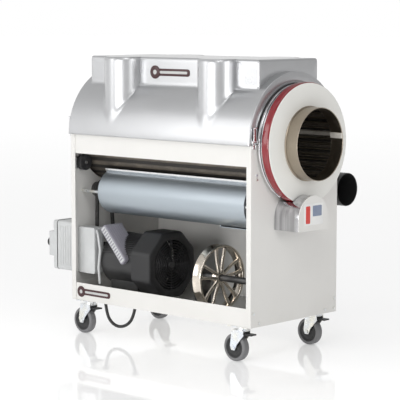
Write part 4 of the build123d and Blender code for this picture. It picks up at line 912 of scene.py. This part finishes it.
def make_capacitor_cover():
    """A flat case that leans on the motor's shoulder: lines run along its broad upper face, and
    short ribs cross its narrow front."""
    low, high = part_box("capacitor_cover")
    wide = COVER_LENGTH * math.cos(COVER_TILT) + COVER_WIDTH * math.sin(COVER_TILT)
    flare = (high.x - low.x - wide) / 2
    half_depth = COVER_DEPTH / 2
    centre = np.array([(low.x + high.x) / 2, low.y + half_depth, high.z - flare
                       - (COVER_LENGTH * math.sin(COVER_TILT) + COVER_WIDTH * math.cos(COVER_TILT)) / 2])
    half_length, half_width = COVER_LENGTH / 2, COVER_WIDTH / 2
    outline = rounded_rectangle(-half_length, half_length, -half_width, half_width, 0.008)
    crown = [(-half_depth, 0.006), (-half_depth + 0.0005, 0.003), (-half_depth + 0.002, 0.001),
             (-half_depth + 0.005, 0.0), (half_depth, 0.0)]
    cover = on_cover("capacitor_cover_shell", outline, crown, "y", centre, "cover_grey")
    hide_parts("capacitor_cover")
    strip = rounded_rectangle(-half_length + 0.006, half_length - 0.006, -0.011, 0.011, 0.004)
    crown = [(-half_depth - 0.0006, 0.0004), (-half_depth - 0.0003, 0.0), (-half_depth + 0.002, 0.0)]
    on_cover("capacitor_strip", strip, crown, "y", centre, "box_grey")
    crown = [(-half_depth - 0.0022, 0.0008), (-half_depth - 0.0016, 0.0), (-half_depth, 0.0)]
    for number, along in enumerate(np.linspace(-0.070, 0.070, 13)):
        rib = rounded_rectangle(along - 0.0022, along + 0.0022, -0.0095, 0.0095, 0.002)
        on_cover(f"capacitor_rib_{number}", rib, crown, "y", centre, "cover_grey")
    crown = [(half_width - 0.001, 0.0), (half_width + 0.0006, 0.0), (half_width + 0.001, 0.0006)]
    for number, across in enumerate(np.linspace(-0.034, 0.034, 7)):
        line = rounded_rectangle(-0.076, 0.076, across - 0.0012, across + 0.0012, 0.001)
        on_cover(f"capacitor_line_{number}", line, crown, "z", centre, "cover_grey")


def on_cover(name, outline, crown, axis, centre, look):
    """An outline carried through (place, inset) stations, then turned and moved with the cover."""
    rows = np.stack([put_on_axis(outline(inset), place, axis) for place, inset in crown])
    return surface(name, tilt(rows) + centre, "root", look, False, True, caps=True)


def tilt(points):
    """Turns points about Y by the cover's tilt."""
    cosine, sine = math.cos(COVER_TILT), math.sin(COVER_TILT)
    x = points[..., 0] * cosine + points[..., 2] * sine
    z = -points[..., 0] * sine + points[..., 2] * cosine
    return np.stack([x, points[..., 1], z], -1)


# ---------------------------------------------------------------- reel
SHAFT_R = 0.00998
BLADE_COUNT = 8
BLADE_TWIST = 1.2


def make_reel():
    """A hub and eight blades that twist as they run along the trough."""
    low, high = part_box("cutting_reel")
    centre = ((low.y + high.y) / 2, (low.z + high.z) / 2)
    reach = (high.y - low.y) / 2 - 0.0003
    x0, x1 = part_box("suction_trough")[0].x + 0.009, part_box("suction_trough")[1].x - 0.009
    section = [(low.x, 0.0), (high.x, 0.0), (high.x, SHAFT_R), (x1, SHAFT_R), (x1, 0.018), (x0, 0.018),
               (x0, SHAFT_R), (low.x, SHAFT_R)]
    shaft = turned("reel_shaft", section, centre, "reel", "steel", steps=48, radius=0.0008)
    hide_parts("cutting_reel")
    s = np.linspace(0.0, 1.0, 49)[:, None]
    corners = rounded([(0.0175, -0.0015), (0.0175, 0.0015), (reach, 0.0006), (reach, -0.0006)], 0.0005, 1)
    for number in range(BLADE_COUNT):
        angle = 2 * math.pi * number / BLADE_COUNT + BLADE_TWIST * s
        y = centre[0] + corners[:, 0] * np.cos(angle) - corners[:, 1] * np.sin(angle)
        z = centre[1] + corners[:, 0] * np.sin(angle) + corners[:, 1] * np.cos(angle)
        grid = np.stack([np.broadcast_to(x0 + (x1 - x0) * s, y.shape), y, z], -1)
        surface(f"reel_blade_{number}", grid, "reel", "steel", False, True, caps=True)


# ---------------------------------------------------------------- boxes
SCREW_INSET = 0.010


def make_boxes():
    """Rounded copies of the control box, its lid, the selector knob and the junction box, and ribs, a gasket
    and screws on the control box.
    """
    skin("control_box", width=0.0012)
    skin("control_box_lid", width=0.0015)
    skin("selector_knob", width=0.0010)
    skin("junction_box", width=0.0010)
    low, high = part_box("control_box")
    seam = rounded_rectangle(low.y - 0.0012, high.y + 0.0012, low.z - 0.0012, high.z + 0.0012, 0.011)
    slab("control_box_gasket", seam, low.x - 0.0018, low.x + 0.0018, "root", "gasket", "x", 0.0006)
    for number, y in enumerate(np.linspace(low.y + 0.020, high.y - 0.020, 5)):
        rib = rounded_rectangle(y - 0.002, y + 0.002, high.z - 0.150, high.z - 0.018, 0.002)
        slab(f"control_box_rib_{number}", rib, low.x - 0.0255, low.x - 0.021, "root", "box_grey", "x", 0.0008)
    for number, x in enumerate(np.linspace(low.x + 0.018, high.x - 0.018, 6)):
        rib = rounded_rectangle(x - 0.002, x + 0.002, low.z + 0.018, high.z - 0.018, 0.002)
        slab(f"control_box_side_rib_{number}", rib, low.y - 0.0016, low.y + 0.001, "root", "box_grey",
             "y", 0.0008)
    lid_face = low.x - 0.022
    head = [(lid_face - 0.0014, 0.0), (lid_face + 0.001, 0.0), (lid_face + 0.001, 0.0042),
            (lid_face - 0.0014, 0.0036)]
    corners = [(y, z) for z in (low.z + SCREW_INSET, high.z - SCREW_INSET)
               for y in (low.y + SCREW_INSET, high.y - SCREW_INSET)]
    for number, corner in enumerate(corners):
        turned(f"control_box_screw_{number}", head, corner, "root", "zinc", steps=24, radius=0.0006)


# ---------------------------------------------------------------- casters
NUT_R = 0.0075
# One side of the wheel's core, from its bore out to the tread: how far in from the face, and radius.
WHEEL_SIDE = [(0.001, 0.0042), (0.001, 0.012), (0.005, 0.014), (0.006, 0.030), (0.002, 0.034),
              (0.002, 0.0384)]


def nut_outline(centre):
    """A function of an inset that gives a hexagon's outline."""
    turns = np.arange(6) * math.pi / 3
    nut = rounded([(NUT_R * math.cos(turn), NUT_R * math.sin(turn)) for turn in turns], 0.0006, 2)

    def outline(inset):
        return nut * (1 - inset / NUT_R) + np.array(centre)
    return outline


def make_casters():
    for place in ("front_left", "front_right", "rear_left", "rear_right"):
        low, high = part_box("caster_wheel_" + place)
        centre = ((low.x + high.x) / 2, (low.z + high.z) / 2)
        body = "wheel_" + place
        reach = (high.z - low.z) / 2
        wide = (high.y - low.y) / 2
        mid = (low.y + high.y) / 2
        near, far = mid - wide, mid + wide
        section = [(near + 0.001, 0.0382), (far - 0.001, 0.0382), (far, 0.042), (far - 0.004, reach),
                   (near + 0.004, reach), (near, 0.042)]
        tread = turned("tread_" + place, section, centre, body, "tread_grey", "y", 72, 0.004)
        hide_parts("caster_wheel_" + place)
        section = [(near + inset, radius) for inset, radius in WHEEL_SIDE]
        section += [(far - inset, radius) for inset, radius in reversed(WHEEL_SIDE)]
        turned("wheel_core_" + place, section, centre, body, "core_black", "y", 48, 0.0015)
        skin("caster_fork_" + place)
        skin("brake_pedal_" + place, width=0.0012)
        fork_low, fork_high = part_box("caster_fork_" + place)
        for side, y in (("front", fork_low.y), ("rear", fork_high.y)):
            out = -1 if side == "front" else 1
            y0, y1 = sorted((y, y + out * 0.003))
            slab(f"axle_nut_{place}_{side}", nut_outline(centre), y0, y1, "swivel_" + place, "zinc", "y",
                 0.0008)


# ---------------------------------------------------------------- guard labels
# Each block: its label, its ends across and up from the cover's middle and foot, its corner's
# radius, and how far behind or before the face it starts.
GUARD_BLOCKS = [
    ("field", -0.052, 0.052, 0.020, 0.096, 0.004, -0.0002),
    ("red", -0.044, -0.020, 0.026, 0.088, 0.003, 0.0002),
    ("blue", -0.006, 0.044, 0.050, 0.088, 0.003, 0.0002),
]
GUARD_LOOKS = {"field": "label_white", "red": "label_red", "blue": "label_blue"}


def make_guard_label():
    """Generic coloured blocks on the guard's cover, with no wording."""
    low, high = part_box("drive_guard_cover")
    mid = (low.y + high.y) / 2
    face = high.x
    for label, y0, y1, z0, z1, corner, depth in GUARD_BLOCKS:
        block = rounded_rectangle(mid + y0, mid + y1, low.z + z0, low.z + z1, corner)
        slab("guard_label_" + label, block, face + depth, face + depth + 0.0006, "root",
             GUARD_LOOKS[label], "x", 0.0002)


PLAIN_SKINS = [
    "side_panel_left", "side_panel_right", "base_pan", "front_rail", "rear_panel", "panel_bolts",
    "suction_trough", "trough_spacers", "outlet_box", "hinge_blocks", "hinge_leaves", "latch_bases",
    "latch_lever_right", "latch_lever_left", "latch_keepers", "roller_brackets", "reel_pulleys",
    "drive_belts", "jack_shaft", "drive_shaft", "drive_roller", "shaft_bearings", "motor_rotor",
    "cord_glands", "drive_guard", "drive_guard_cover", "caster_plates", "roller_front_left",
    "roller_front_right", "roller_rear_left", "roller_rear_right",
]

make_camera()
make_cord()
make_lights()
make_floor()
bpy.context.scene.view_settings.view_transform = "Standard"
for plain in PLAIN_SKINS:
    skin(plain)
skin("fixed_knife", "knife", 0.0004)
make_hood()
make_badges()
make_drum()
make_flywheel()
make_motor()
make_capacitor_cover()
make_reel()
make_boxes()
make_casters()
make_guard_label()
